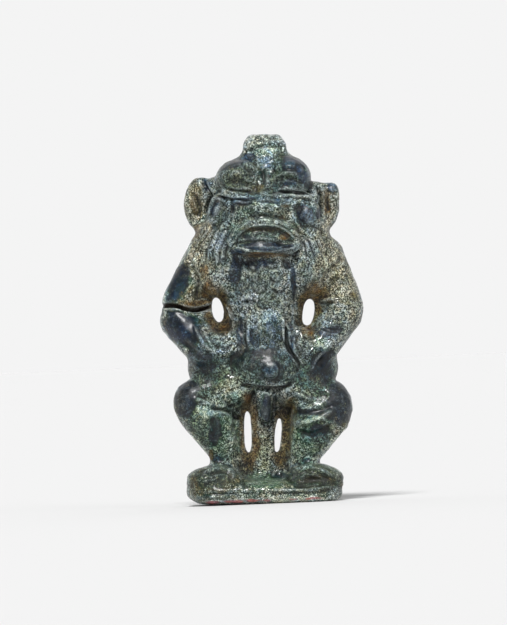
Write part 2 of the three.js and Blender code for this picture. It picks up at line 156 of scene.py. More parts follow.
headCuts = {
    "loop": [
        [(-5.2, 102.2), (-2.6, 103.2), (1, 103.9), (4.6, 103.6), (6.2, 104.4), 0.7, 0.35],
        [(-4.6, 101.3), (-2, 102.3), (1.5, 102.7), (5, 102.3), 0.6, -0.3],
    ],
    "brow": [
        [(-0.4, 96), (0, 94.6), (0.2, 93.2), (0.2, 91), 0.7, -0.6],
        [(-5.6, 98.2), (-4, 97.2), (-2.2, 96), (-1.2, 94.4), 0.6, 0.5],
        [(-5.8, 96.6), (-4.2, 95.6), (-3, 93.4), 0.9, -0.7],
        [(5.2, 94.2), (7.5, 94.7), (10, 94.2), 0.6, 0.35],
        [(2.6, 96.4), (4, 95), (6.5, 95.6), (9.5, 95.2), 0.6, -0.35],
        [(9.9, 96.2), (11.2, 96.5), (12, 95.4), (11.2, 94.4), (10, 94.8), 0.5, -0.2],
    ],
    "eyes": [
        [(-11.4, 91.4), (-9.6, 92.3), (-7.4, 92.4), (-5.4, 91.6), (-3.4, 91.4), 0.7, -0.35],
        [(-10.9, 90.1), (-8.6, 89.5), (-6, 89.3), (-3.2, 89.3), 0.5, -0.5],
        [(-9.6, 93.6), (-8, 94.6), (-6.2, 94.2), (-5.4, 92.8), 0.5, 0.3],
        [(3, 91.4), (4.6, 92.9), (7, 93.3), (9.6, 92.9), (11.8, 91.6), 0.6, -0.35],
        [(2, 88.8), (5, 89), (8.6, 89), (11.4, 88.7), (14.2, 88.9), 0.5, -0.65],
        [(4.4, 89.9), (7.4, 90.2), (10.4, 89.8), 0.5, 0.3],
    ],
    "cheek bar": [
        [(-12.8, 88.7), (-9.6, 87.9), (-6.4, 87.6), (-3.6, 87.1), 0.5, 0.45],
        [(-8.6, 86.7), (-6, 86.1), (-3.4, 86.3), 0.4, 0.35],
        [(2.4, 88.1), (4.4, 88.9), (6.8, 88.3), (9.2, 88.8), 0.45, 0.4],
        [(8.4, 87.3), (11, 88.1), (13.6, 87.5), (15.4, 86), 0.45, 0.35],
        [(-1.6, 86.3), (1.2, 86.8), (4, 86.4), (6.6, 86.9), 0.4, 0.3],
        [(-13, 87.6), (-9, 87), (-4, 86.7), (0, 87.4), (6, 87.6), (12, 87.2), 0.5, -0.3],
        [(-5.2, 84.7), (-1, 84.9), (3.2, 85), (5.6, 84.6), 0.6, 0.4],
    ],
    "left cheek": [
        [(-16.4, 81.6), (-15.9, 84.6), (-14.6, 87), (-12.6, 86.9), (-10.4, 85.2), 0.5, 0.5],
        [(-15.4, 82), (-14.9, 84.6), (-13.8, 86), 0.8, -0.4],
        [(-14.6, 80), (-12.6, 81.6), (-10.8, 83.8), 0.5, 0.35],
        [(-13.4, 79), (-11.4, 80.8), (-10, 83.2), 0.5, -0.35],
        [(-9.1, 85), (-9.3, 82.6), (-9.5, 80), 0.6, -0.35],
        [(-8.2, 85.6), (-8.1, 83), (-8.8, 80.6), 0.5, 0.3],
        [(-11, 80.6), (-9.8, 79.4), (-10.4, 78), (-12, 77.6), 0.4, -0.35],
    ],
    "right cheek": [
        [(9.4, 84.6), (9.9, 82.4), (11, 80.2), (12.6, 78), 0.7, -0.3],
        [(11.4, 85.4), (13.2, 85.9), (15.2, 84.8), (15.8, 82.6), 0.5, 0.3],
        [(14.2, 86), (16.6, 84.6), (18, 82), (17, 79.6), 0.6, 0.35],
        [(8.8, 80.6), (10.2, 78.4), (11.6, 76.8), 0.5, -0.5],
    ],
    "upper lip": [
        [(-10, 75), (-8.2, 77.8), (-4.6, 79.7), (0, 80.6), (4.2, 80.2), (7.8, 78.8), (10, 76.6),
         (12, 75.2), 0.5, 0.5],
        [(-9.4, 74.4), (-7.8, 76.6), (-4.4, 78.9), (0, 79.9), (4.2, 79.5), (7.4, 78), (9.4, 76),
         0.4, -0.35],
        [(-8.4, 74.6), (-6.4, 77.3), (-3.2, 79), (1, 79.3), (4.6, 78.8), (7.4, 77.2),
         (9.6, 75.2), 0.4, 0.4],
        [(-9.2, 79.4), (-5.6, 81.3), (0, 82), (5, 81.6), (8.8, 80), 0.6, -0.4],
    ],
    "mouth": [
        [(-7, 75.6), (-4.8, 77.4), (-1, 78.3), (3, 78.2), (6, 76.8), (8.4, 75), 0.8, -0.8],
        [(-4.4, 75.8), (-1.6, 76.9), (1.6, 76.8), (4, 75.9), (5.6, 74.6), 0.5, 0.4],
        [(-9.2, 74.2), (-6, 74.9), (-2, 75.2), (2, 75.1), (6.4, 74.4), (10.4, 73.2), 0.4, 0.4],
        [(-4.6, 74.4), (-1, 74.6), (3, 74.5), (6, 73.8), 0.5, -0.4],
        [(-7.4, 72.4), (-4, 71.8), (0, 71.6), (4, 71.7), (8, 72.3), (10.4, 73), 0.35, 0.35],
        [(-7.6, 71), (-3, 70.6), (2, 70.6), (7, 71.2), (9.4, 71.8), 0.6, -0.7],
        [(8.7, 72.2), (9.4, 71), (9, 69.6), 0.6, -0.5],
        [(-1, 69.9), (2.6, 70.2), (6, 70), 0.4, 0.3],
    ],
    "ears": [
        [(-17.9, 92.6), (-16.9, 90), (-15.7, 87.8), (-16.6, 85), (-17, 82.6), 0.7, -1],
        [(-21.2, 88.6), (-19.6, 87.4), (-18.8, 84.4), (-19.4, 81.4), 0.7, -0.35],
        [(-18.2, 93.2), (-20.4, 92.4), (-22, 89.6), (-22.4, 86), (-21.4, 82.4), 0.6, 0.3],
        [(15.9, 91.6), (17, 88.8), (17.1, 85.6), (17.5, 82.4), 0.7, -1],
        [(19.4, 89.2), (19, 86.4), (19.3, 83.2), 0.7, -0.4],
        [(18.9, 90), (20.4, 88.8), (22, 89), 0.5, -0.4],
    ],
}

maneCuts = {
    "left locks": [
        [(-11.2, 79.2), (-13, 76), (-14.6, 72.4), (-15, 69.4), 0.4, -0.25],
        [(-12.6, 79.4), (-15, 76), (-16.6, 72.4), (-17, 69), 0.4, -0.35],
        [(-10.6, 77), (-11.8, 74), (-12.8, 71), (-12.8, 68), 0.4, -0.35],
        [(-10.2, 74.4), (-10.8, 72), (-11.2, 69), 0.4, -0.35],
        [(-14.8, 78.8), (-17.4, 75.6), (-19.2, 72.6), 0.4, -0.3],
        [(-17, 78), (-19.4, 75), (-21, 72.6), 0.4, -0.3],
    ],
    "right locks": [
        [(11.6, 75), (12.6, 72.6), (13, 69.6), 0.4, -0.35],
        [(13.2, 75.4), (14.6, 72.4), (15.6, 69.6), 0.45, -0.5],
        [(15, 76.4), (16.6, 73.4), (17.8, 70.6), 0.4, -0.35],
        [(17, 77.4), (18.8, 74.6), (20.4, 72), 0.4, -0.3],
        [(14, 79), (17, 78), (18.6, 76), 0.4, -0.3],
    ],
    "edges": [
        [(-22.4, 70), (-20.8, 67), (-19.4, 62.6), (-19.8, 57.6), 0.7, -0.5],
        [(24, 69.6), (20.6, 66.8), (18.4, 64), (18, 61), 0.7, -0.4],
    ],
    "beard": [
        [(9.2, 66), (8.9, 62.6), (9.6, 59.4), (9, 56.4), 0.6, -0.25],
        [(-8.4, 70), (-7.2, 67), (-6.9, 62), 0.7, -0.25],
        [(-4.6, 69), (-4.2, 66.4), (-2.4, 65.6), (-1.4, 67.4), 0.5, -0.28],
        [(0, 69.4), (1.2, 67), (3.2, 66.4), (4.2, 68.4), 0.5, -0.28],
        [(-5, 64.6), (-3.4, 62.4), (-1.4, 63), (-1, 65), 0.5, -0.25],
        [(1.6, 64.8), (3, 62.6), (5, 62.8), (5.8, 65), 0.5, -0.25],
        [(-3.6, 60.8), (-2, 59.2), (0.4, 59.6), (1, 61.6), 0.5, -0.35],
        [(3, 60.6), (4.6, 59), (6.2, 59.8), 0.5, -0.35],
        [(5.8, 68.8), (7.4, 68.2), (8.2, 66.4), 0.5, -0.4],
    ],
}

bodyCuts = {
    "column": [
        [(-5.3, 51.6), (-5.2, 48), (-5.3, 45), (-4.6, 42.6), 0.5, -0.45],
        [(-4.5, 51), (-4.4, 47), (-4.5, 44.4), 0.4, 0.4],
        [(6.9, 52), (6.8, 47), (7.3, 43.4), (8.8, 41), (9.8, 39.4), 0.6, -0.8],
        [(6.1, 51.6), (6.1, 48), (6.2, 44.6), 0.4, 0.45],
        [(-2.2, 51.6), (-2, 47), (-1.8, 43.6), 0.9, -0.35],
    ],
    "left hand": [
        [(-15.8, 47), (-14.8, 44.4), (-12.6, 43), (-10.4, 42.9), (-8.6, 44.4), 0.5, -0.4],
        [(-14.4, 46), (-12.4, 45.4), (-10.6, 46.2), 0.4, -0.3],
        [(-12.6, 47.4), (-11, 46.9), (-9.6, 47.8), 0.4, -0.25],
        [(-9.6, 53.6), (-8.7, 51.4), (-8.8, 48.8), (-10.6, 46.8), 0.4, 0.5],
    ],
    "left arm": [
        [(-20.4, 49.4), (-19.2, 46.6), (-17.4, 43.8), (-15, 42), (-12.6, 41.4), 0.6, 0.5],
        [(-18.9, 49), (-17.6, 46.4), (-16, 44.2), 0.5, -0.5],
        [(-30.6, 54.1), (-27.6, 54.6), (-24.4, 54.2), (-21.6, 52.8), 0.6, 0.35],
        [(-23.6, 45), (-20.6, 42), (-18.6, 39.4), 0.9, -0.4],
    ],
    "right arm": [
        [(10.6, 47), (9.9, 44.6), (10.4, 42), (11.6, 40.4), 0.5, -0.4],
        [(12.2, 46), (13.8, 45.4), (15.8, 46.2), 0.4, -0.28],
        [(12, 43.4), (13.8, 42.8), (15.4, 43.6), 0.4, -0.25],
        [(20.8, 45.4), (18, 42), (15.8, 39.4), (14.2, 36), 0.6, 0.5],
        [(21, 42.6), (18.4, 40), (16.4, 37.4), 1.1, -0.6],
        [(17.4, 49.6), (20.4, 48.2), (22.8, 48.6), 0.9, -0.35],
        [(17.6, 56.9), (20.8, 57.3), (23.4, 55.8), (24.6, 55.2), 0.6, 0.4],
    ],
    "belly": [
        [(7.6, 41.4), (9.4, 38.8), (11, 36.4), 0.35, 0.3],
        [(8.8, 42.2), (10.6, 39.6), (12, 37.6), 0.35, 0.25],
        [(-10.8, 55.4), (-9.6, 53.6), (-8.4, 51.2), 0.35, 0.4],
        [(-0.6, 36.6), (0.4, 33.9), (2.6, 32.6), (4.9, 33.6), (5.9, 36), (5.2, 38.2), 0.7, -0.5],
        [(0.4, 33), (2.6, 33), (4.6, 34.4), (5, 36.6), (4.2, 38.6), 0.5, -0.5],
        [(0.6, 35.4), (2.4, 34.8), (3.8, 36), 0.7, 0.25],
        [(-6.4, 31.9), (-3, 31.3), (1, 30.7), (5, 30.8), (7.4, 31.6), (8.8, 33.2), 0.6, -0.8],
        [(-8.8, 41), (-9.6, 38), (-9, 34.6), 0.7, -0.3],
        [(9.6, 40.4), (10.6, 38), (10.4, 35.4), 0.6, -0.5],
    ],
    "thighs": [
        [(-15.4, 25.1), (-12.4, 24.7), (-9.8, 24.1), (-8, 22.7), (-6.8, 21.3), 0.7, -0.75],
        [(-10.4, 25.4), (-8, 25.9), (-6.2, 27.4), 0.5, -0.6],
        [(-20.2, 27.8), (-17.8, 27), (-14.6, 25.9), 0.6, 0.5],
        [(-9.2, 23), (-8.2, 20.8), (-9, 17), 0.5, -0.5],
        [(-15.8, 22.4), (-14.6, 20), (-14.8, 16.4), 0.9, -0.4],
        [(9.9, 29.6), (12.6, 28.1), (15, 27.4), 0.5, 0.45],
        [(10.6, 23.9), (14, 24), (17.6, 24.8), (20.6, 25.4), 0.8, -0.35],
        [(9.8, 20.4), (13.8, 21.2), (17.8, 22.8), (20.8, 24.8), 0.8, 0.7],
        [(10.4, 18.2), (14, 17.2), (17.4, 18.2), (20.4, 19.8), 0.9, -0.5],
        [(25.6, 20.6), (22.4, 17.2), (18.4, 13.4), (16.6, 11.6), 0.6, 0.3],
    ],
    "loin": [
        [(-1.4, 29), (-1.2, 25), (-0.6, 21.6), (0.9, 19.6), (2.5, 20.4), (3.2, 23.6), (3.6, 28),
         0.7, -0.35],
    ],
    "feet": [
        [(-17.9, 4.6), (-16.8, 6), (-14, 7), (-11.2, 7.3), (-9.4, 6.4), (-8.6, 4.4), 0.45, 0.5],
        [(-16.4, 5.2), (-13.6, 6.1), (-11.2, 6.3), (-9.8, 5.2), (-10, 3.6), 0.45, -0.45],
        [(-17.6, 3.3), (-15.4, 3.7), (-13.6, 4.2), 0.4, 0.4],
        [(-7, 8.2), (-6.2, 6), (-5.7, 4), (-5.6, 1.6), 0.7, -0.35],
        [(12, 4.1), (15.4, 4.2), (20, 3.4), 1.4, -0.5],
        [(8.6, 4.4), (9.6, 6.2), (12.4, 7.4), (16.6, 6.9), (20.6, 4.8), 0.5, 0.45],
        [(10, 4.8), (12.6, 6.4), (16.4, 5.9), (19.4, 4.4), 0.5, -0.4],
        [(2.8, 4.8), (3.6, 5.7), (4.6, 6.5), 0.4, 0.4],
        [(6.6, 8.6), (7.6, 6), (7.2, 3.6), 0.7, -0.3],
    ],
    "plinth": [
        [(-19.6, -0.3), (-14, -0.4), (-6, -0.3), (0, -0.3), 0.5, -0.25],
        [(1, -0.2), (8, -0.2), (15, 0.1), (21.6, 1), 0.5, -0.25],
        [(2, 0.8), (8, 0.8), (15, 1.1), (20.6, 2), 0.45, 0.35],
        [(-16, -1.1), (-11, -1.2), 0.4, 0.3],
        [(22.9, 2.7), (23.6, 2.3), (24, 1.8), 0.8, 0.5],
    ],
}

crack = [(-31, 55.2), (-28.4, 55.5), (-25.4, 55.3), (-23.4, 54.6), (-20.4, 54.2),
         (-18, 54.5), (-15.4, 55.2), 0.45, -1.8]


def smoothLine(places):
    # a Catmull-Rom curve through the places, as closely spaced points
    first, second, *_ = places
    *_, lastButOne, last = places
    ends = [2 * np.array(first) - second, *map(np.array, places), 2 * np.array(last) - lastButOne]
    line = []
    for a, b, c, d in zip(ends, ends[1:], ends[2:], ends[3:]):
        steps = max(int(np.hypot(*(c - b)) / clay["spacing"]), 1)
        bend, twist = 2 * a - 5 * b + 4 * c - d, 3 * b - a - 3 * c + d
        for t in np.arange(steps) / steps:
            line.append(0.5 * (2 * b + (c - a) * t + bend * t ** 2 + twist * t ** 3))
    return np.array(line + [ends[-2]])


def nearness(seen, places, halfWidth):
    # 1 on the line, 0 from its reach outwards, less at its tips; seen holds across and up
    line = smoothLine(places)
    reach = halfWidth * clay["reach"]
    low, high = line.min(0) - reach, line.max(0) + reach
    close = np.flatnonzero(((seen > low) & (seen < high)).all(1))
    result = np.zeros(len(seen))
    if len(close) == 0:
        return result
    gap = np.full(len(close), np.inf)
    along = np.zeros(len(close))
    for k, spot in enumerate(line):
        away = np.hypot(*(seen[close] - spot).T)
        better = away < gap
        gap[better] = away[better]
        along[better] = k / (len(line) - 1)
    taper = np.clip(np.minimum(along, 1 - along) * clay["taper"] + clay["tip"], 0, 1)
    result[close] = np.clip(1 - (gap / reach) ** 2, 0, 1) ** 2 * taper
    return result


def carved(places, facing, cuts):
    lift = np.zeros(len(places))
    seen = places[:, [0, 2]]
    for *line, halfWidth, height in cuts:
        lift += nearness(seen, line, halfWidth) * height
    onFace = smoothStep(*clay["faceEdge"], offset(places, *clay["face"]))
    return lift * facing * (clay["depth"] + (clay["faceDepth"] - clay["depth"]) * onFace)


# Broad swells and hollows: middle, half width, half height, lean if there is one, and height

swells = [
    (-7.6, 95.4, 5.6, 4, -12, 1), (8.2, 96, 6, 4.4, 14, 1), (-0.3, 94, 1.6, 4, -0.5),
    (0.9, 97.6, 2.6, 3, -0.4), (-13.8, 83.6, 2.4, 3.6, 18, 0.7), (13.2, 82.4, 4, 3.8, 0.45),
    (0.4, 82.6, 5, 1.2, -0.3), (0.6, 72.6, 8, 1.2, 2, 0.5), (0.4, 76.4, 4, 1.4, 0.6),
    (2.6, 36, 3.6, 3.6, 0.6), (1, 48, 4.6, 6, 0.6), (0.7, 24.6, 1.8, 5, 0.6), (-23, 48.4, 5, 6, -38, 0.4),
    (-5, 56.6, 1.1, 1, -1), (15.6, 4, 5, 1.6, -6, -0.6), (0.4, 3.2, 6, 1, -0.5), (0.4, 4.9, 5, 1.3, 0.4),
    (-12.8, 4.4, 3.2, 1.3, -8, -0.4),
]


def swollen(places, facing):
    lift = np.zeros(len(places))
    for *ellipse, height in swells:
        lift += np.clip(1 - offset(places, *ellipse) ** 2, 0, 1) ** 2 * height
    return lift * facing


def offset(places, across, up, halfWidth, halfHeight, lean=0):
    # how far out of an ellipse each place is, as seen from the front: 1 is on it
    turn = math.radians(lean)
    x, z = places[:, 0] - across, places[:, 2] - up
    u = (x * math.cos(turn) - z * math.sin(turn)) / halfWidth
    v = (x * math.sin(turn) + z * math.cos(turn)) / halfHeight
    return np.hypot(u, v)


def rumple(places, size, seed):
    # soft noise, from about -1 to 1, with lumps of the given size
    shift = Vector([seed * step for step in clay["seedStep"]])
    return np.array([noise.noise(Vector(p) / size + shift) for p in places]) * clay["swing"]


# Places where the creases run softly into each other, given as above, and how much they do

creases = [
    (-6.8, 6.4, 3.4, 4.4, 1), (7.8, 6.4, 3.4, 4.4, 1), (0.4, 5.6, 10, 4.4, 1), (-13.4, 10.4, 5, 2.4, 0.9),
    (13.6, 10.4, 5, 2.4, 0.9), (0.6, 40, 7, 2.4, 0.9), (0.7, 24, 3, 6, 0.3),
]
loopEnds = {"middle": 0.4, "inner": 3.4, "outer": 7, "foot": 101, "top": 105, "drop": 1.1}


def settled(places, edges):
    # the skin without the solid's flat facets, softer still in the creases
    smooth = relaxed(places, edges, clay["settle"])
    share = np.zeros(len(places))
    for *ellipse, most in creases:
        share = np.maximum(share, most * smoothStep(*clay["creaseEdge"], offset(smooth, *ellipse)))
    share *= smoothStep(*clay["creaseFront"], smooth[:, 1])
    near = np.flatnonzero(share > 0)
    number = np.full(len(places), -1)
    number[near] = np.arange(len(near))
    joined = number[edges]
    softer = relaxed(smooth[near], joined[(joined >= 0).all(1)], clay["soften"])
    smooth[near] += (softer - smooth[near]) * share[near, None]
    out = smoothStep(loopEnds["inner"], loopEnds["outer"], np.abs(smooth[:, 0] - loopEnds["middle"]))
    smooth[:, 2] -= loopEnds["drop"] * out * smoothStep(loopEnds["foot"], loopEnds["top"], smooth[:, 2])
    return smooth


def sculpt(piece):
    mesh = piece.data
    places = settled(toShares(readPoints(mesh)), readEdges(mesh))
    writePoints(mesh, toMetres(places))
    normals = readNormals(mesh)
    facing = smoothStep(*clay["front"], -normals[:, 1])
    lift = carved(places, facing, allCuts()) + swollen(places, facing)
    lift += sum(height * rumple(places, size, seed) for height, size, seed in clay["lumps"])
    places += normals * lift[:, None]
    writePoints(mesh, toMetres(places))
    normals = readNormals(mesh)
    crackLift = carved(places, smoothStep(*clay["crackFront"], -normals[:, 1]), [crack])
    places += normals * crackLift[:, None]
    points = toMetres(places)
    points[:, 2] = np.maximum(points[:, 2], 0)  # the underside stays on the floor
    writePoints(mesh, points)


def allCuts():
    return [cut for part in (headCuts, maneCuts, bodyCuts) for cuts in part.values() for cut in cuts]


def thinned(piece, faces):
    triangles = 2 * len(piece.data.polygons)
    if triangles <= faces:
        return
    decimate = piece.modifiers.new("fewer faces", "DECIMATE")
    decimate.ratio = faces / triangles
    applyModifiers(piece)


# Colour: which coat shows where, as seen from the front. A dab is a middle, half width, half height,
# lean if there is one, and strength.

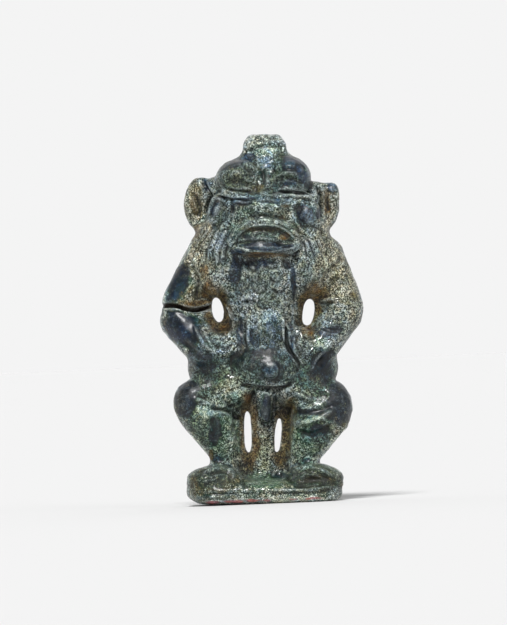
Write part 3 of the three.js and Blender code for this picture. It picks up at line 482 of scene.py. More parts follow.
coats = {
    "navy": [  # blue-black
        (-14.4, 18.4, 1.8, 3.4, 10, 0.9), (16.4, 18.6, 3.4, 1.6, -20, 0.85), (1.4, 73, 8, 1.4, 2, 1),
        (-14.2, 84, 1.3, 2.6, 20, 1), (-25, 62, 2.6, 6.4, 24, 1), (-24.2, 49, 4.6, 5.2, -38, 1),
        (-22.6, 27, 2.4, 5, 1), (22.6, 26.4, 3.4, 6, 10, 1), (9, 97, 4, 2.6, 30, 0.9),
        (12.6, 93, 1.4, 3.4, -30, 0.9), (-4, 99.6, 2, 1, 10, 0.9), (20.9, 90.6, 1.4, 1.4, 1),
        (-14.4, 83.8, 1, 2.4, 18, 1), (1.4, 72.4, 7.6, 0.9, 2, 1), (-7.6, 71.2, 2, 0.9, 0.8),
        (0.9, 25, 1.7, 4.8, 0.9), (18.6, 40, 1.3, 4, 42, 1), (-14.6, 19.6, 1.2, 3.4, 0.7),
        (12.4, 82.4, 2.4, 2.8, 0.8), (16.4, 82.6, 1, 2, 0.7), (-16.6, 91.4, 0.9, 2, -20, 0.9),
        (7.6, 91.8, 2.2, 1.1, 0.7), (1.6, 38.4, 3.2, 2, 0.6), (-3.4, 46.4, 0.7, 3, 0.6),
        (-7, 66, 1, 4, 10, 0.6), (9, 62, 0.7, 4, 0.8), (-7, 40, 6, 2.4, 0.5), (22, 31.4, 2, 2, 0.7),
        (-8, 97.6, 3, 1.2, 20, 0.5), (20.6, 48, 2.6, 1.3, -10, 0.8), (19, 34, 1.6, 4, 30, 0.6),
        (-20, 42, 2, 3, -30, 0.6), (3, 86.3, 6, 0.7, 0.5), (-12, 87.6, 2.4, 0.6, -10, 0.6),
        (-9, 85.2, 0.8, 2.6, 0.6), (-15.6, 33.6, 3, 2, 30, 0.4), (-20.2, 19, 1.6, 3, -30, 0.4),
        (-24, 48.6, 6, 4, 45, 1), (-17, 38, 4, 3.6, 0.6), (-22.6, 28, 3.4, 6, 0.9), (1, 36.6, 6, 4, 0.5),
        (16.6, 37.6, 3.4, 5, 24, 0.62), (22.6, 27, 4, 7, 0.95), (0, 41.6, 5.4, 1.6, 0.6),
        (-6.6, 47.6, 1, 5, 0.65), (2, 37.6, 2.6, 1.4, -20, 0.8), (8.4, 46, 1.2, 5, 0.6),
        (9, 96.6, 4.4, 2.6, 20, 0.8), (-9.4, 97.4, 3.6, 1.4, -24, 0.8), (-1, 68, 5, 1.4, 0.7),
        (-8.6, 66, 1.6, 5, 0.75), (-6, 86, 3, 1, 0.7), (4, 86.4, 3, 0.9, 0.6), (-4, 75.4, 3, 1, 20, 0.6),
        (14, 24, 6, 1.2, 4, 0.75), (15, 17.6, 4, 1.6, 10, 0.6), (-14.4, 17, 2.4, 3.6, 0.8),
        (20, 47.6, 4, 1.6, -10, 0.8), (3.4, 5, 2, 1, 0.6), (-13.6, 9.6, 2, 1, 0.6), (13, 9.4, 2, 1, 0.6),
    ],
    "azure": [  # slate blue, on the navy
        (-4.4, 99, 2.4, 1.2, -20, 0.6), (7.8, 97.6, 1.7, 1.4, 20, 0.8), (11.8, 94.2, 1.4, 2.8, -30, 0.8),
        (20.8, 90.6, 1.3, 1.5, 1), (-16.8, 91.4, 0.9, 2, -20, 0.9), (1.4, 72.4, 6, 0.7, 2, 0.9),
        (8, 91.6, 2.2, 0.8, 0.8), (-14.2, 84, 0.9, 2, 18, 0.9), (13, 82.2, 1.8, 1.8, 0.8),
        (-25, 60, 1.5, 4, 24, 0.6), (-23.6, 48, 2.4, 3, -38, 0.6), (8.2, 42, 0.9, 3, 0.8),
        (17, 38.4, 1.4, 3.4, 40, 0.8), (-14.4, 19, 1, 2.2, 0.8), (16, 17.6, 2, 0.9, 0.8),
        (-7.4, 46, 0.8, 3.6, 0.7), (-3, 46, 0.6, 3, 0.6), (0.8, 24, 1, 3.4, 0.3), (5.6, 5, 2.4, 0.8, 0.8),
        (-5, 87.2, 4, 0.5, -4, 0.9), (5, 86.8, 3, 0.4, 0.7), (-8, 71.6, 1.4, 0.8, 0.9),
        (-1, 67.8, 2.6, 0.8, 0.7), (8.8, 64, 0.8, 3, 0.8), (-14.6, 79, 1, 1.4, 0.6),
        (6.8, 67.6, 1.2, 1.4, 0.8), (-22.6, 27, 1.4, 4, 0.25), (23, 28, 1.4, 4, 0.25), (-10, 53, 1, 4, 0.6),
        (2.4, 36.6, 2, 1.6, 0.6), (-13, 10, 1.4, 0.8, 0.8), (13, 9.6, 1.6, 0.8, 0.7),
    ],
    "khaki": [  # brown olive
        (0.6, 104.4, 6, 1.4, 0.5), (-9.4, 94.4, 3.4, 3, 0.9), (-20.6, 87, 3.4, 6.4, 1),
        (19.6, 85.4, 2.8, 5.2, 0.9), (-17.4, 76, 4.4, 5, 24, 0.8), (-18.8, 68, 4.4, 6, 10, 0.9),
        (19.4, 76, 4.4, 5, -24, 0.9), (20.6, 66, 6, 6.4, 0.9), (24.6, 60, 4.4, 5, 0.8),
        (0, 77.6, 5.6, 1.2, 0.9), (0, 89.8, 3.4, 1.6, 0.7), (8, 93.6, 3.4, 1.2, 0.7),
        (-10.8, 32.6, 4.4, 3.4, -20, 0.9), (0.2, 13, 1.9, 6.4, 0.9), (-14, 3.2, 7, 3, 0.8),
        (15.6, 4, 7, 3.4, 0.8), (20, 27.4, 3, 2.2, 0.6), (-17, 71.4, 3, 3, 0.5), (3, 57.6, 3, 5, 0.5),
        (-21, 58.4, 2, 3, 0.7), (26.6, 52, 2, 5, 10, 0.6), (9.4, 44, 2, 2.4, 0.5), (16.6, 30, 4, 2.4, 0.5),
        (-21, 37, 2, 4, 0.5), (6, 82.6, 3, 2, 0.6), (10.4, 77.4, 1.6, 2.4, 30, 0.7),
        (23, 18, 2.4, 5, 50, 0.8), (-25.4, 25.6, 1, 3, 0.8), (-19.4, 16.6, 2, 4, -44, 0.6),
    ],
    "dirt": [  # earth
        (-13.4, 53.6, 4, 7.4, -10, 1), (-11.8, 49.4, 3.2, 2.2, 10, 1), (-17.2, 55.2, 3, 1.8, 20, 1),
        (-16, 60.4, 1.6, 3, 10, 0.8), (13.6, 54.2, 3.4, 8, 7, 1), (15.8, 58.6, 2.2, 2.8, -10, 0.9),
        (13, 48.4, 2.2, 1.8, 0.8), (-4.3, 17.8, 3, 11.8, 1), (-3.8, 7.8, 1.8, 2.2, 0.8),
        (5.7, 17.2, 2.9, 9.8, 6, 1), (7.8, 24.4, 1.8, 4, 10, 0.9), (-19.6, 85.4, 1.6, 3.4, 0.5),
        (19, 85.8, 1.2, 3.4, 0.55), (-17.4, 65.4, 1.6, 2.2, 0.7), (1, 70.5, 6.4, 0.8, 0.9),
        (-2.6, 90.2, 3, 1.6, 0.5), (0, 78, 6, 0.7, 0.6), (-20, 77, 1.4, 3, 20, 0.5),
        (-15.4, 11, 0.8, 1.8, 1), (16.4, 4, 5, 1.2, 0.45), (-20.6, 86, 1.2, 2, 0.5), (24, 2, 1, 1, 0.7),
        (-20.4, 2, 1.6, 3, 0.5), (26.4, 58.6, 1.2, 1.2, 0.5), (-19.8, 55.6, 4.6, 1.5, 4, 0.8),
        (-17.6, 59.4, 2.6, 2, 0.7), (17.4, 59.2, 3.6, 2, 10, 0.75), (13.6, 46.6, 1.8, 2.4, 0.6),
        (-17.4, 66, 1.4, 1.8, 0.6),
    ],
    "rust": [  # iron stains
        (6.2, 75.9, 2, 0.9, -20, 0.9), (5.6, 81.6, 0.9, 0.8, 0.55), (6.2, 85, 1.6, 0.5, 0.6),
        (-17.6, 66, 1.6, 1.4, 0.4), (20.6, 56.6, 1.6, 0.9, 0.6), (-3.4, 88.6, 0.9, 0.5, 0.6),
        (1, 70.8, 5, 0.4, 0.8), (19.2, 84, 1, 0.7, 0.7), (-16.8, 61, 1, 3, 20, 0.5),
        (13.4, 47.6, 1.6, 1.4, 0.8), (-15.6, 10.8, 0.5, 1.4, 1), (-4.6, 28, 1, 1.4, 0.8),
        (-11.4, 48.6, 1.6, 1.4, 0.6), (15.6, 60.4, 1.4, 1.6, 0.6),
    ],
    "deep": [  # dark green
        (-4.8, 56.8, 1.3, 1.1, 1), (0, 60, 8, 6, 0.55), (-13, 70, 4, 6, 0.5), (14, 70, 4, 6, 0.5),
        (-17, 37, 6, 6, 0.9), (0, 38, 9, 5, 0.9), (13, 37, 7, 6, 0.9), (-19.6, 31.4, 4, 3.6, 0.8),
        (19.4, 32, 5, 5, 0.9), (-9, 94, 5, 4.6, 0.7), (5, 92, 8, 5, 0.8), (8, 98, 5, 3, 20, 0.8),
        (0, 76, 8, 3.6, 0.9), (-12.6, 76.4, 3, 3, 0.6), (13.4, 82.4, 4, 4, 0.9), (-14, 83.6, 3, 4, 18, 0.8),
        (-1, 68, 5, 3, 0.8), (-16, 68.6, 2, 3, 0.5), (-18.6, 18.4, 4, 6, -40, 0.9), (18, 17, 5, 4, 50, 0.9),
        (12, 23.4, 4, 1.6, 8, 0.8), (-16, 4.6, 6, 3, 0.8), (15, 4, 8, 3, 0.8), (16, 65.6, 3, 3, 0.5),
        (26.6, 57, 1.6, 2, 0.5), (23, 47.6, 2, 3, 0.5),
    ],
    "teal": [  # blue-green
        (0, 63, 7, 6, 0.6), (-10, 60, 3, 5, 0.5), (1, 101, 5, 4, 0.6), (14, 68, 3, 6, 0.5),
        (-12, 18, 5, 8, 0.9), (12.6, 14, 4.4, 7, 0.9), (-18.6, 22.6, 4, 3.4, -20, 0.9), (2, 3.4, 8, 3, 0.6),
        (-7.4, 27.6, 3, 3, 0.7), (14, 34, 4, 4, 0.5), (0.4, 10, 1.6, 4, 0.5), (-14.6, 44.6, 3, 2, 0.6),
        (17.6, 44, 4, 3, 40, 0.6), (-4.6, 82.6, 3.4, 2, 0.5), (0.6, 85.6, 7, 0.8, 0.4), (14, 72, 3, 4, 0.6),
        (-8, 77.4, 3, 1.4, 45, 0.6), (8.6, 78, 3, 1.2, -40, 0.6), (-16.4, 37.6, 3, 3, 0.6),
    ],
    "pale": [  # bleached skin, and painted highlights and painted light
        (-15.6, 23.6, 4.4, 1.6, 14, 0.7), (-10, 16.6, 1.6, 4, 0.6), (9.6, 15, 1.2, 4, 0.5),
        (1, 98, 3, 2.4, 0.6), (1.2, 101.6, 1.8, 1.2, 0.7), (-13.4, 74, 2.2, 3.4, 0.8),
        (8, 87.9, 5, 0.6, 0.9), (-6, 87.5, 4, 0.4, 0.6), (2, 52.8, 3.6, 1.6, 0.7),
        (-2.6, 47, 1.2, 4.6, 4, 0.5), (2.2, 46.4, 1.5, 5, -4, 0.5), (5, 47, 0.7, 4, 0.5),
        (0.4, 51.6, 5, 1.2, 0.7), (-4.6, 54.6, 1.2, 1, 0.7), (-4.4, 47.6, 0.5, 3, 0.7),
        (6, 48, 0.5, 3.2, 0.7), (-19, 46.6, 0.7, 3.4, -24, 0.7), (-13.4, 41.8, 2.4, 0.5, -10, 0.8),
        (14.8, 22, 6.6, 1.1, -27, 0.85), (13.6, 73.4, 2, 2.4, 0.6), (14, 44.6, 1.6, 1.4, 0.7),
        (7.4, 67.4, 1.2, 1.6, 0.6), (-20, 69.4, 0.8, 2.4, 30, 0.7), (-14.4, 80.6, 1.4, 0.6, 40, 0.7),
        (22.4, 55.6, 2.4, 0.7, 10, 0.7), (-4, 57.8, 3, 1.6, 0.6), (-17, 26.6, 3, 0.5, -16, 0.6),
        (-27, 54.4, 3.6, 0.5, 0.6), (0, -2.3, 24, 1, -2.4, 0.9), (-20.4, 14.2, 7, 1.6, 46, 0.95),
        (21.8, 14.6, 7, 1.7, -44, 0.95), (25.8, 26, 0.7, 5, 0.7), (-26, 31, 0.7, 3, 0.6),
        (-28.4, 46.6, 5, 0.9, 45, 0.7), (-7.8, 86.4, 1.6, 0.8, -20, 0.9), (-19.2, 92, 1.2, 1.2, 0.6),
        (10, 0.8, 7, 0.4, 2, 0.6),
    ],
    "blue": [  # washes, from here on
        (-4.4, 99, 3, 1.8, -20, 0.7), (1.6, 97.4, 3, 3.4, 0.8), (7.6, 98, 2.4, 2, 20, 1),
        (11.6, 95.6, 2.4, 3, -30, 1), (8, 91.6, 4.4, 1.4, 0.8), (-16.6, 92, 1.4, 2.4, 0.9),
        (20.8, 90.6, 1.5, 1.6, 1), (-5, 87.4, 8, 1.4, -4, 1), (5, 86.6, 6, 1.2, 0.7),
        (-15, 84, 1.6, 3.4, 18, 0.8), (-10, 83, 1.4, 4, 10, 0.7), (13, 82.6, 4, 3.4, 0.9),
        (14.6, 78.4, 2, 1.8, 0.8), (1, 72.6, 7.6, 1.2, 2, 1), (-8, 71.4, 2, 1.2, 1),
        (-14, 74, 3, 4, 30, 0.7), (-8, 66, 2, 5, 0.8), (-1, 68, 5, 1.6, 0.8), (8.6, 65, 1.6, 6, 0.6),
        (14.6, 72, 2, 3, 0.7), (-6, 60, 3, 4, 0.6), (-8, 53, 2.4, 5, 0.6), (-3.4, 46, 2, 6, 0.8),
        (3, 42, 3, 4, 0.6), (8, 42, 2, 5, 0.8), (-26, 61, 3, 6, 24, 0.6), (-24, 49, 5, 5, -38, 0.9),
        (2, 47, 4, 6, 0.7), (-15, 44, 5, 4, 0.7), (-19, 39, 3, 3, 0.7), (17, 39, 4, 4, 40, 1),
        (13, 36, 3, 3, 0.7), (23, 27, 4, 7, 0.8), (20, 48, 4, 3, 0.7), (25, 50, 2, 3, 0.6),
        (-23, 28, 3, 5, 0.8), (-14, 18, 2.4, 4, 0.6), (0, 23, 1.6, 5, 0.5), (16, 17, 4, 2.4, 10, 0.9),
        (3, 36, 4, 4, 0.6), (6, 5, 4, 1.2, 0.6), (-13.4, 10, 1.6, 1.2, 0.8), (13, 9, 2, 1.6, 0.7),
        (2, 104, 4, 2, 0.5), (-6, 104, 1, 2, 0.7), (6, 103, 1, 2, 0.6),
    ],
    "green": [
        (-13, 35, 7, 6, 0.9), (14, 32, 6, 7, 0.8), (-14, 20, 7, 10, 0.9), (13, 18, 6, 10, 0.9),
        (0, 38, 9, 4, 0.6), (0, 92, 12, 6, 0.5), (0, 79, 10, 7, 0.6), (-17, 27, 4, 4, 0.9),
        (-18, 22, 4, 3, 0.9), (-10, 30, 4, 4, 0.7), (-4, 33, 5, 3, 0.8), (11, 31, 4, 3, 0.7),
        (14, 26, 4, 3, 0.7), (0, 11, 2, 6, 0.7), (2, 4, 5, 2, 0.7), (-14, 9, 4, 2, 0.6),
        (16, 7, 6, 1.6, 0.6), (2, 54, 5, 4, 0.5), (-6, 78, 4, 2, 40, 0.8), (8, 79, 4, 1.6, -40, 0.8),
        (-12, 80, 2.4, 3, 0.6), (5, 96, 2, 3, 0.8), (0, 102, 4, 1.6, 0.8), (14, 45, 3, 3, 0.7),
        (16, 52, 2, 3, 0.5), (-16, 37, 4, 2.4, 0.6), (22, 40, 2, 4, 0.5), (-9, 96.6, 5, 1.6, 0.6),
    ],
    "ochre": [
        (-8, 93.4, 3.6, 1.8, 0.9), (7.4, 94.4, 4, 1, 0.7), (-4, 97, 1.4, 1, 0.7), (1, 104.6, 4, 1, 0.7),
        (-20.4, 86, 3.4, 6.4, 0.7), (19, 85.4, 2.6, 4.4, 0.25), (25, 55, 5, 8, 0.7),
        (-22, 58, 4, 8, 20, 0.7), (-17, 17, 5, 7, -30, 0.8), (18, 17, 5, 7, 40, 0.8),
        (0.4, 12, 2.4, 9, 0.8), (-23, 24, 3, 7, 0.5), (22.6, 26, 4, 7, 0.7), (0, 1, 24, 5, 0.9),
        (-18.4, 77, 4, 5, 20, 1), (-12, 16, 4, 7, 0.8), (12, 15, 4, 7, 0.8), (-24, 60, 4, 7, 24, 0.6),
        (22, 62, 6, 8, 0.9), (-21, 69, 4, 4, 20, 0.9), (-17, 64, 3, 6, 1), (-21, 58.6, 2.4, 2, 0.8),
        (18, 76, 4, 4, 0.9), (22.6, 67.6, 4, 5, 1), (25, 60, 3.6, 6, 0.9), (28, 54, 1.4, 4, 0.7),
        (17, 67, 3, 4, 0.7), (9.6, 77, 2, 3, 30, 0.8), (0, 78, 7, 1, 0.8), (-8, 91, 5, 1.6, 0.7),
        (-25.4, 26, 1.4, 4, 1), (-19, 14, 2, 4, -40, 0.7), (-14, 3.4, 8, 4, 1), (15.4, 4, 8, 3.4, 1),
        (22, 16, 2.4, 4, 50, 1), (14.6, 21, 5, 1, -27, 0.8), (-8, 13, 1.6, 5, 0.8), (-12, 32, 3, 2, 0.6),
        (12.6, 78, 1.6, 2, 0.6), (-20.6, 44.6, 2, 3, 0.6), (9.6, 20, 1.4, 7, 0.5),
    ],
    "shadeAndDarkGlaze": [  # painted shade, partly darker glaze; glints fade here too
        (-4.8, 56.8, 1.3, 1.1, 1), (0, 83.4, 8, 1.2, 0.5), (-7.6, 83.4, 2, 3, 10, 0.5),
        (-5, 92, 2, 1.2, 0.7), (-7, 90.2, 4, 0.8, 0.8), (6, 89.8, 6, 0.6, 0.7), (1, 98, 2.6, 2.4, 0.8),
        (3, 94, 2, 2, 0.5), (-7, 89.4, 5, 1.2, 0.8), (-3.6, 104, 1.6, 1, 0.5), (13, 82.4, 3, 2.4, 0.8),
        (19.6, 92.6, 2, 1, 0.5), (2.4, 72.4, 7, 1.3, 2, 0.9), (-13, 66, 2, 2, 0.5),
        (-22, 68.6, 1.6, 2.4, 0.5), (25, 64, 1.6, 3, 0.7), (27.4, 57, 1.4, 3, 0.7),
        (-22, 57.6, 2, 1.4, 0.3), (21.5, 49, 2, 2, 0.7), (6.5, 42.6, 1.6, 2.6, 0.6), (-17, 31.6, 3, 1.8, 1),
        (17, 28, 4, 1.8, 1), (10.4, 22.6, 2, 1, 0.7), (-10.4, 25.8, 2, 1, 0.6), (-7.8, 15.4, 1, 2.6, 0.5),
        (-11, 10, 2.4, 1.6, 0.8), (13, 9, 2.4, 1.4, 0.7), (-19.6, 2.4, 2, 2, 0.5), (-6.6, 5, 1.4, 2.6, 0.7),
        (-13.2, 53.6, 2.5, 5.4, -10, 0.7), (13.7, 54, 1.9, 5.6, 8, 0.6), (-4.6, 17.6, 1.4, 8, 0.6),
        (17, 36, 5, 6, 20, 0.8), (1, 44, 6, 7, 1), (15.4, 32.6, 6, 5, 0.85), (-24.5, 51.6, 5.4, 1.6, 45, 1),
        (-19.4, 45, 1.6, 5, 0.8), (1.6, 40.6, 3, 4, 1), (7, 42, 1.2, 5, -20, 0.9), (22, 33, 3, 3.4, 0.9),
        (22, 26.6, 4, 6, 0.55), (12, 23.2, 4, 1.4, 5, 1), (-13, 4, 7, 4, 0.6), (14, 4, 9, 4, 0.65),
        (13, 14, 5, 9, 0.45), (-13, 14, 5, 9, 0.3), (-14, 38, 7, 6, 0.35), (18, 24.6, 3, 1.6, 0.8),
        (8, 30.6, 2, 1, 0.7), (-14, 19, 2, 5, 0.8), (-24.4, 26, 2.6, 5, 0.6), (13.2, 83.6, 2.6, 2, 1),
        (-14, 84.2, 1.6, 1.6, 0.9), (-12.4, 76.4, 1.6, 2, 0.8), (-11, 90.4, 4, 1.2, 0.9),
        (-5.4, 88.6, 4, 0.8, 0.9), (8, 91, 4.4, 1.2, 0.8), (2, 72.6, 8, 1.2, 2, 1), (1, 75.8, 4, 1.2, 0.6),
        (-3, 82, 3, 2, 0.4), (-8.6, 82.4, 2, 1.6, 0.6), (25.4, 68, 2, 3, 0.7), (26, 58, 2, 3, 0.7),
        (21.6, 62.6, 3, 2, 0.6), (12.4, 63, 2.6, 2.6, 0.7), (-9, 4, 5, 3, 0.7), (-14, 7, 3, 1.6, 0.7),
        (13, 3.4, 5, 2.6, 0.7), (-22.6, 58.6, 2.6, 1, 20, 0.6), (-17.6, 31.6, 2.4, 1, 0.9),
        (-16.4, 69, 2, 2, 0.6), (20.6, 91, 1.6, 1.6, 0.6), (9, 44, 2, 3, 0.6), (4.6, 17, 1, 7, 5, 0.6),
        (-12, 53, 1, 3, 0.5), (-10, 38, 4, 3, 0.4), (-3, 93.6, 1.4, 1.4, 0.8), (-9, 8.6, 3, 1.4, 0.8),
        (13, 8.4, 3, 1.4, 0.7), (-22, 29, 3, 4, 0.6), (-17, 33, 3, 1.4, 0.6), (5, 72.4, 4, 1, 4, 0.8),
    ],
    "lit": [  # painted light and painted highlights, partly lighter glaze
        (-5.4, 102.6, 1, 2.4, 0.8), (6.6, 101.4, 1, 2.4, 0.8), (-8, 85.4, 7, 0.9, 0.9),
        (10.4, 85.6, 4, 0.9, 0.9), (-18, 82.4, 1.6, 2, 0.8), (-7.8, 79, 2, 1.2, 40, 0.7),
        (1.3, 79.8, 5, 0.8, 0.8), (-22, 74.6, 1, 3, 24, 0.6), (-7.8, 67.6, 1.6, 3, 0.8),
        (-21, 64, 1, 3, 0.6), (-28, 60, 1, 6, 26, 0.9), (-14.4, 59.6, 1.4, 2, 0.6), (17, 54.6, 1.4, 4, 0.8),
        (13, 58.4, 3, 1, 0.6), (-27, 45.6, 5, 1, 45, 1), (-14.4, 41.4, 2.4, 1.2, 0.7), (17, 44, 2, 2, 0.7),
        (4, 26, 1.6, 3, 0.8), (-4, 26.6, 1.6, 3, 0.7), (13, 20, 3, 0.9, -14, 0.8), (-15.8, 18, 1.4, 3, 0.6),
        (5.2, 6.2, 1.6, 1.6, 0.7), (2, 51.6, 3.6, 1.6, 0.9), (-5, 55.6, 2, 1.6, -30, 0.6),
        (4, 70, 2.6, 0.7, 14, 1), (3.4, 38.4, 0.9, 0.6, 1), (0.2, 35, 1.4, 0.9, 20, 0.5),
        (7.6, 97.4, 0.9, 0.8, 1), (11.8, 95.6, 1.1, 0.4, 0.8), (1.4, 102, 1.2, 0.8, 1),
        (-4, 87.7, 2, 0.4, 1), (2.6, 84.8, 2.4, 0.5, 1), (2.6, 96.8, 0.6, 0.5, 1),
        (-3.4, 93.8, 0.6, 0.5, 1), (2, 86.9, 4.6, 0.35, 1), (-11.6, 87.2, 2, 0.35, -4, 1),
        (0, 80.7, 4.4, 0.35, 0.9), (1, 85, 3.4, 0.4, 0.9), (-9.4, 79.6, 1.2, 0.5, 50, 0.8),
        (0, 75.4, 5, 0.3, -3, 0.8), (1.6, 71.5, 7, 0.3, 2, 0.8), (-9, 95.4, 2.4, 0.5, 30, 0.8),
        (-14.2, 87.6, 1.4, 0.5, 20, 0.8), (0.6, 103, 6, 3, 0.85), (24, 62, 4, 8, 0.55),
        (-19, 72, 4, 6, 20, 0.4), (-20.4, 86.6, 3, 5, 0.45), (19.6, 86, 2.6, 4, 0.4),
        (0.6, 74.6, 7, 3, 0.3), (-24, 60, 4.6, 8, 24, 0.75), (-24, 54, 5, 6, 0.6),
        (-20, 20, 5, 7, -30, 0.4), (20, 20, 6, 7, 30, 0.5), (-20.4, 79.6, 2, 3, 20, 0.9),
        (-22.4, 84, 1.6, 4, 10, 0.6), (-20, 67, 1, 4, 20, 0.9), (-27, 64, 1, 6, 26, 0.5),
        (-7.6, 86.6, 3, 1, -10, 1), (8, 87.8, 6, 0.7, 0.9), (16.4, 84.6, 1.4, 3, -30, 0.9),
        (19, 81, 1.6, 2, 0.8), (12, 71.6, 2, 2, 0.7), (10, 69, 1.4, 1.6, 0.6), (15, 76.6, 2, 2, 0.6),
        (-26.6, 46.6, 6, 0.8, 45, 0.8), (-27, 55, 4, 0.6, 0.8), (-6, 103.4, 1.4, 2.6, 0.8),
        (5.6, 102, 1.4, 2.4, 0.8), (17, 42.4, 2, 2, 0.8), (-19.6, 14, 5, 1, 46, 1),
        (21.4, 14.6, 5.4, 1.2, -44, 1), (0, -2.2, 24, 1.2, -2.4, 1), (3, 27.4, 2.4, 3.2, 1),
        (-1, 30, 5, 1.4, 0.8), (-7, 28.6, 4, 2.4, 0.9), (15, 20.4, 4, 1, -14, 0.9),
        (-14, 41.6, 2.6, 1.4, 0.9), (11, 70.6, 2, 1.6, 0.9), (20, 68, 1.6, 2, 0.7), (17, 58, 1.6, 3, 0.8),
        (-29, 54.8, 2, 0.8, 0.8), (0, 82, 9, 4, 0.5), (-20, 17, 3, 1.4, 46, 0.8),
        (22, 17, 3, 1.6, -44, 0.8), (5.6, 59, 1.6, 1.6, 0.7), (-9, 44, 3, 2, 0.5),
    ],
    "paint": [  # the smear on the base's edge
        (-15, -2.9, 2, 0.45, 0.8), (-10.6, -2.7, 1.2, 0.4, 0.6), (-7.6, -2.6, 2, 0.5, 0.9),
        (-3, -2.3, 2.4, 0.45, 0.9), (0.8, -2.3, 1.6, 0.4, 0.7), (9, -1.9, 1.4, 0.35, 0.5),
        (15, -1.6, 3, 0.4, -3, 0.7),
    ],
    "calm": [  # places with less speckle
        (1, 97, 4.4, 4.4, 0.75), (-9, 95, 6, 5, 0.6), (0, 86, 14, 14, 0.3), (0, 75, 11, 5, 0.6),
        (2.6, 47.6, 3.4, 7, 0.8), (-16.6, 21, 5, 9, -30, 0.75), (16.6, 21, 5, 9, 30, 0.7),
        (0, 86, 13, 3, 0.6), (-11, 45, 4, 4, 40, 0.5), (-25, 60, 4, 9, 24, 1), (-23, 48, 6, 8, -30, 0.9),
        (23, 27, 5, 8, 0.8), (-23, 27, 4, 7, 0.8), (1, 46, 5, 5, 0.4), (0.6, 25, 2.4, 6, 0.8),
        (-14, 3, 9, 5, 0.9), (15, 4, 9, 5, 0.9), (18, 39, 3, 5, 40, 0.8), (9, 97, 6, 5, 0.9),
        (0, 0, 26, 5, 0.75), (-15, 27, 8, 5, 0.5), (15, 27, 8, 5, 0.5), (0, 37, 9, 5, 0.65),
        (-20, 87, 4, 7, 0.4), (20, 86, 4, 6, 0.4), (1, 103, 7, 3, 0.3), (-15, 38, 6, 5, 0.4),
    ],
}

# How the coats are laid on, and the masks that follow the relief

brush = {
    "front": (-0.25, 0.2),  # how far forward the skin faces where the dabs start and are full
    "full": 2.1,            # a dab's cover at its middle, where anything over 1 counts as 1,
    "fall": 1.6,            # and how much less it is at its ellipse
    "steady": 3,            # dabs smaller than this wander less
    "sway": ((0.9, 3.4, (8, 9, 10)), (0.45, 1.2, (11, 12, 13))),  # how far, size of the lumps, seeds
    "behind": {  # on the hidden sides: how much of each coat there is, how it varies, and the noise's seed
        "navy": (0.26, 0.7, 3), "azure": (-0.2, 0.7, 17), "khaki": (0.3, 0.7, 4), "dirt": (0.6, 0.5, 7),
        "rust": (0.4, 1, 17), "deep": (0.35, 0.6, 14), "teal": (0.4, 0.7, 6), "pale": (-0.25, 0.7, 7),
        "blue": (0.4, 0.6, 3), "green": (0.25, 0.7, 6), "ochre": (0.3, 0.7, 4), "shadeAndDarkGlaze": (0.12, 0.3, 15),
        "lit": (0.12, -0.3, 15), "paint": (0, 0, 3), "calm": (0.95, 0.3, 3),
    },
    "slow": {3: 19, 4: 16, 14: 15, 6: 14, 7: 8, 17: 8, 15: 12},  # the seeds and sizes of those noises
    "slowParts": ((0.75, 1), (0.4, 2.8)),  # their large and small lumps: share, and how much smaller
    "inHollows": {"dirt": (0.5, 1.6), "rust": (0.9, 2)},  # depths where these start and are full
    "smoothing": {"fine": 6, "middling": 24, "broad": 60},  # further rounds that wipe out each relief
    "relief": {  # each mask's relief, the depths where it starts and is full, and its share
        # crevices take grime and painted shade, ridges pale wear and painted highlight
        "crevice": [("fine", 0.02, 0.16, 1)],
        "ridge": [("fine", -0.02, -0.16, 1)],
        # painted shade in the valleys
        "valleyShade": [("middling", 0.02, 0.36, 0.5), ("broad", 0.05, 0.8, 0.5)],
        # painted light on the crests
        "crestLight": [("middling", -0.04, -0.35, 0.4), ("broad", -0.15, -0.9, 0.6)],
    },
    # grooves take grime and painted shade, raised cuts pale wear and painted highlight
    "lines": {"groove": -1, "edge": 1},  # masks along the cuts, and the sign of these cuts' heights
    "lineWidth": 0.75,                   # against the cut's own
    "lineStrength": 1.2,                 # against the cut's height
    "lineMost": 0.8,
    "lineFront": (0.1, 0.5),
    "crackWidth": 0.7,
    "crackFront": (-0.4, 0),
}


def dabbed(places, sway, dabs):
    # larger dabs wander more from their ellipse
    cover = np.zeros(len(places))
    for *ellipse, strength in dabs:
        wander = min(min(ellipse[2:4]) / brush["steady"], 1)
        out = offset(places + sway * wander, *ellipse)
        cover = np.maximum(cover, strength * np.clip(brush["full"] - brush["fall"] * out, 0, 1))
    return cover


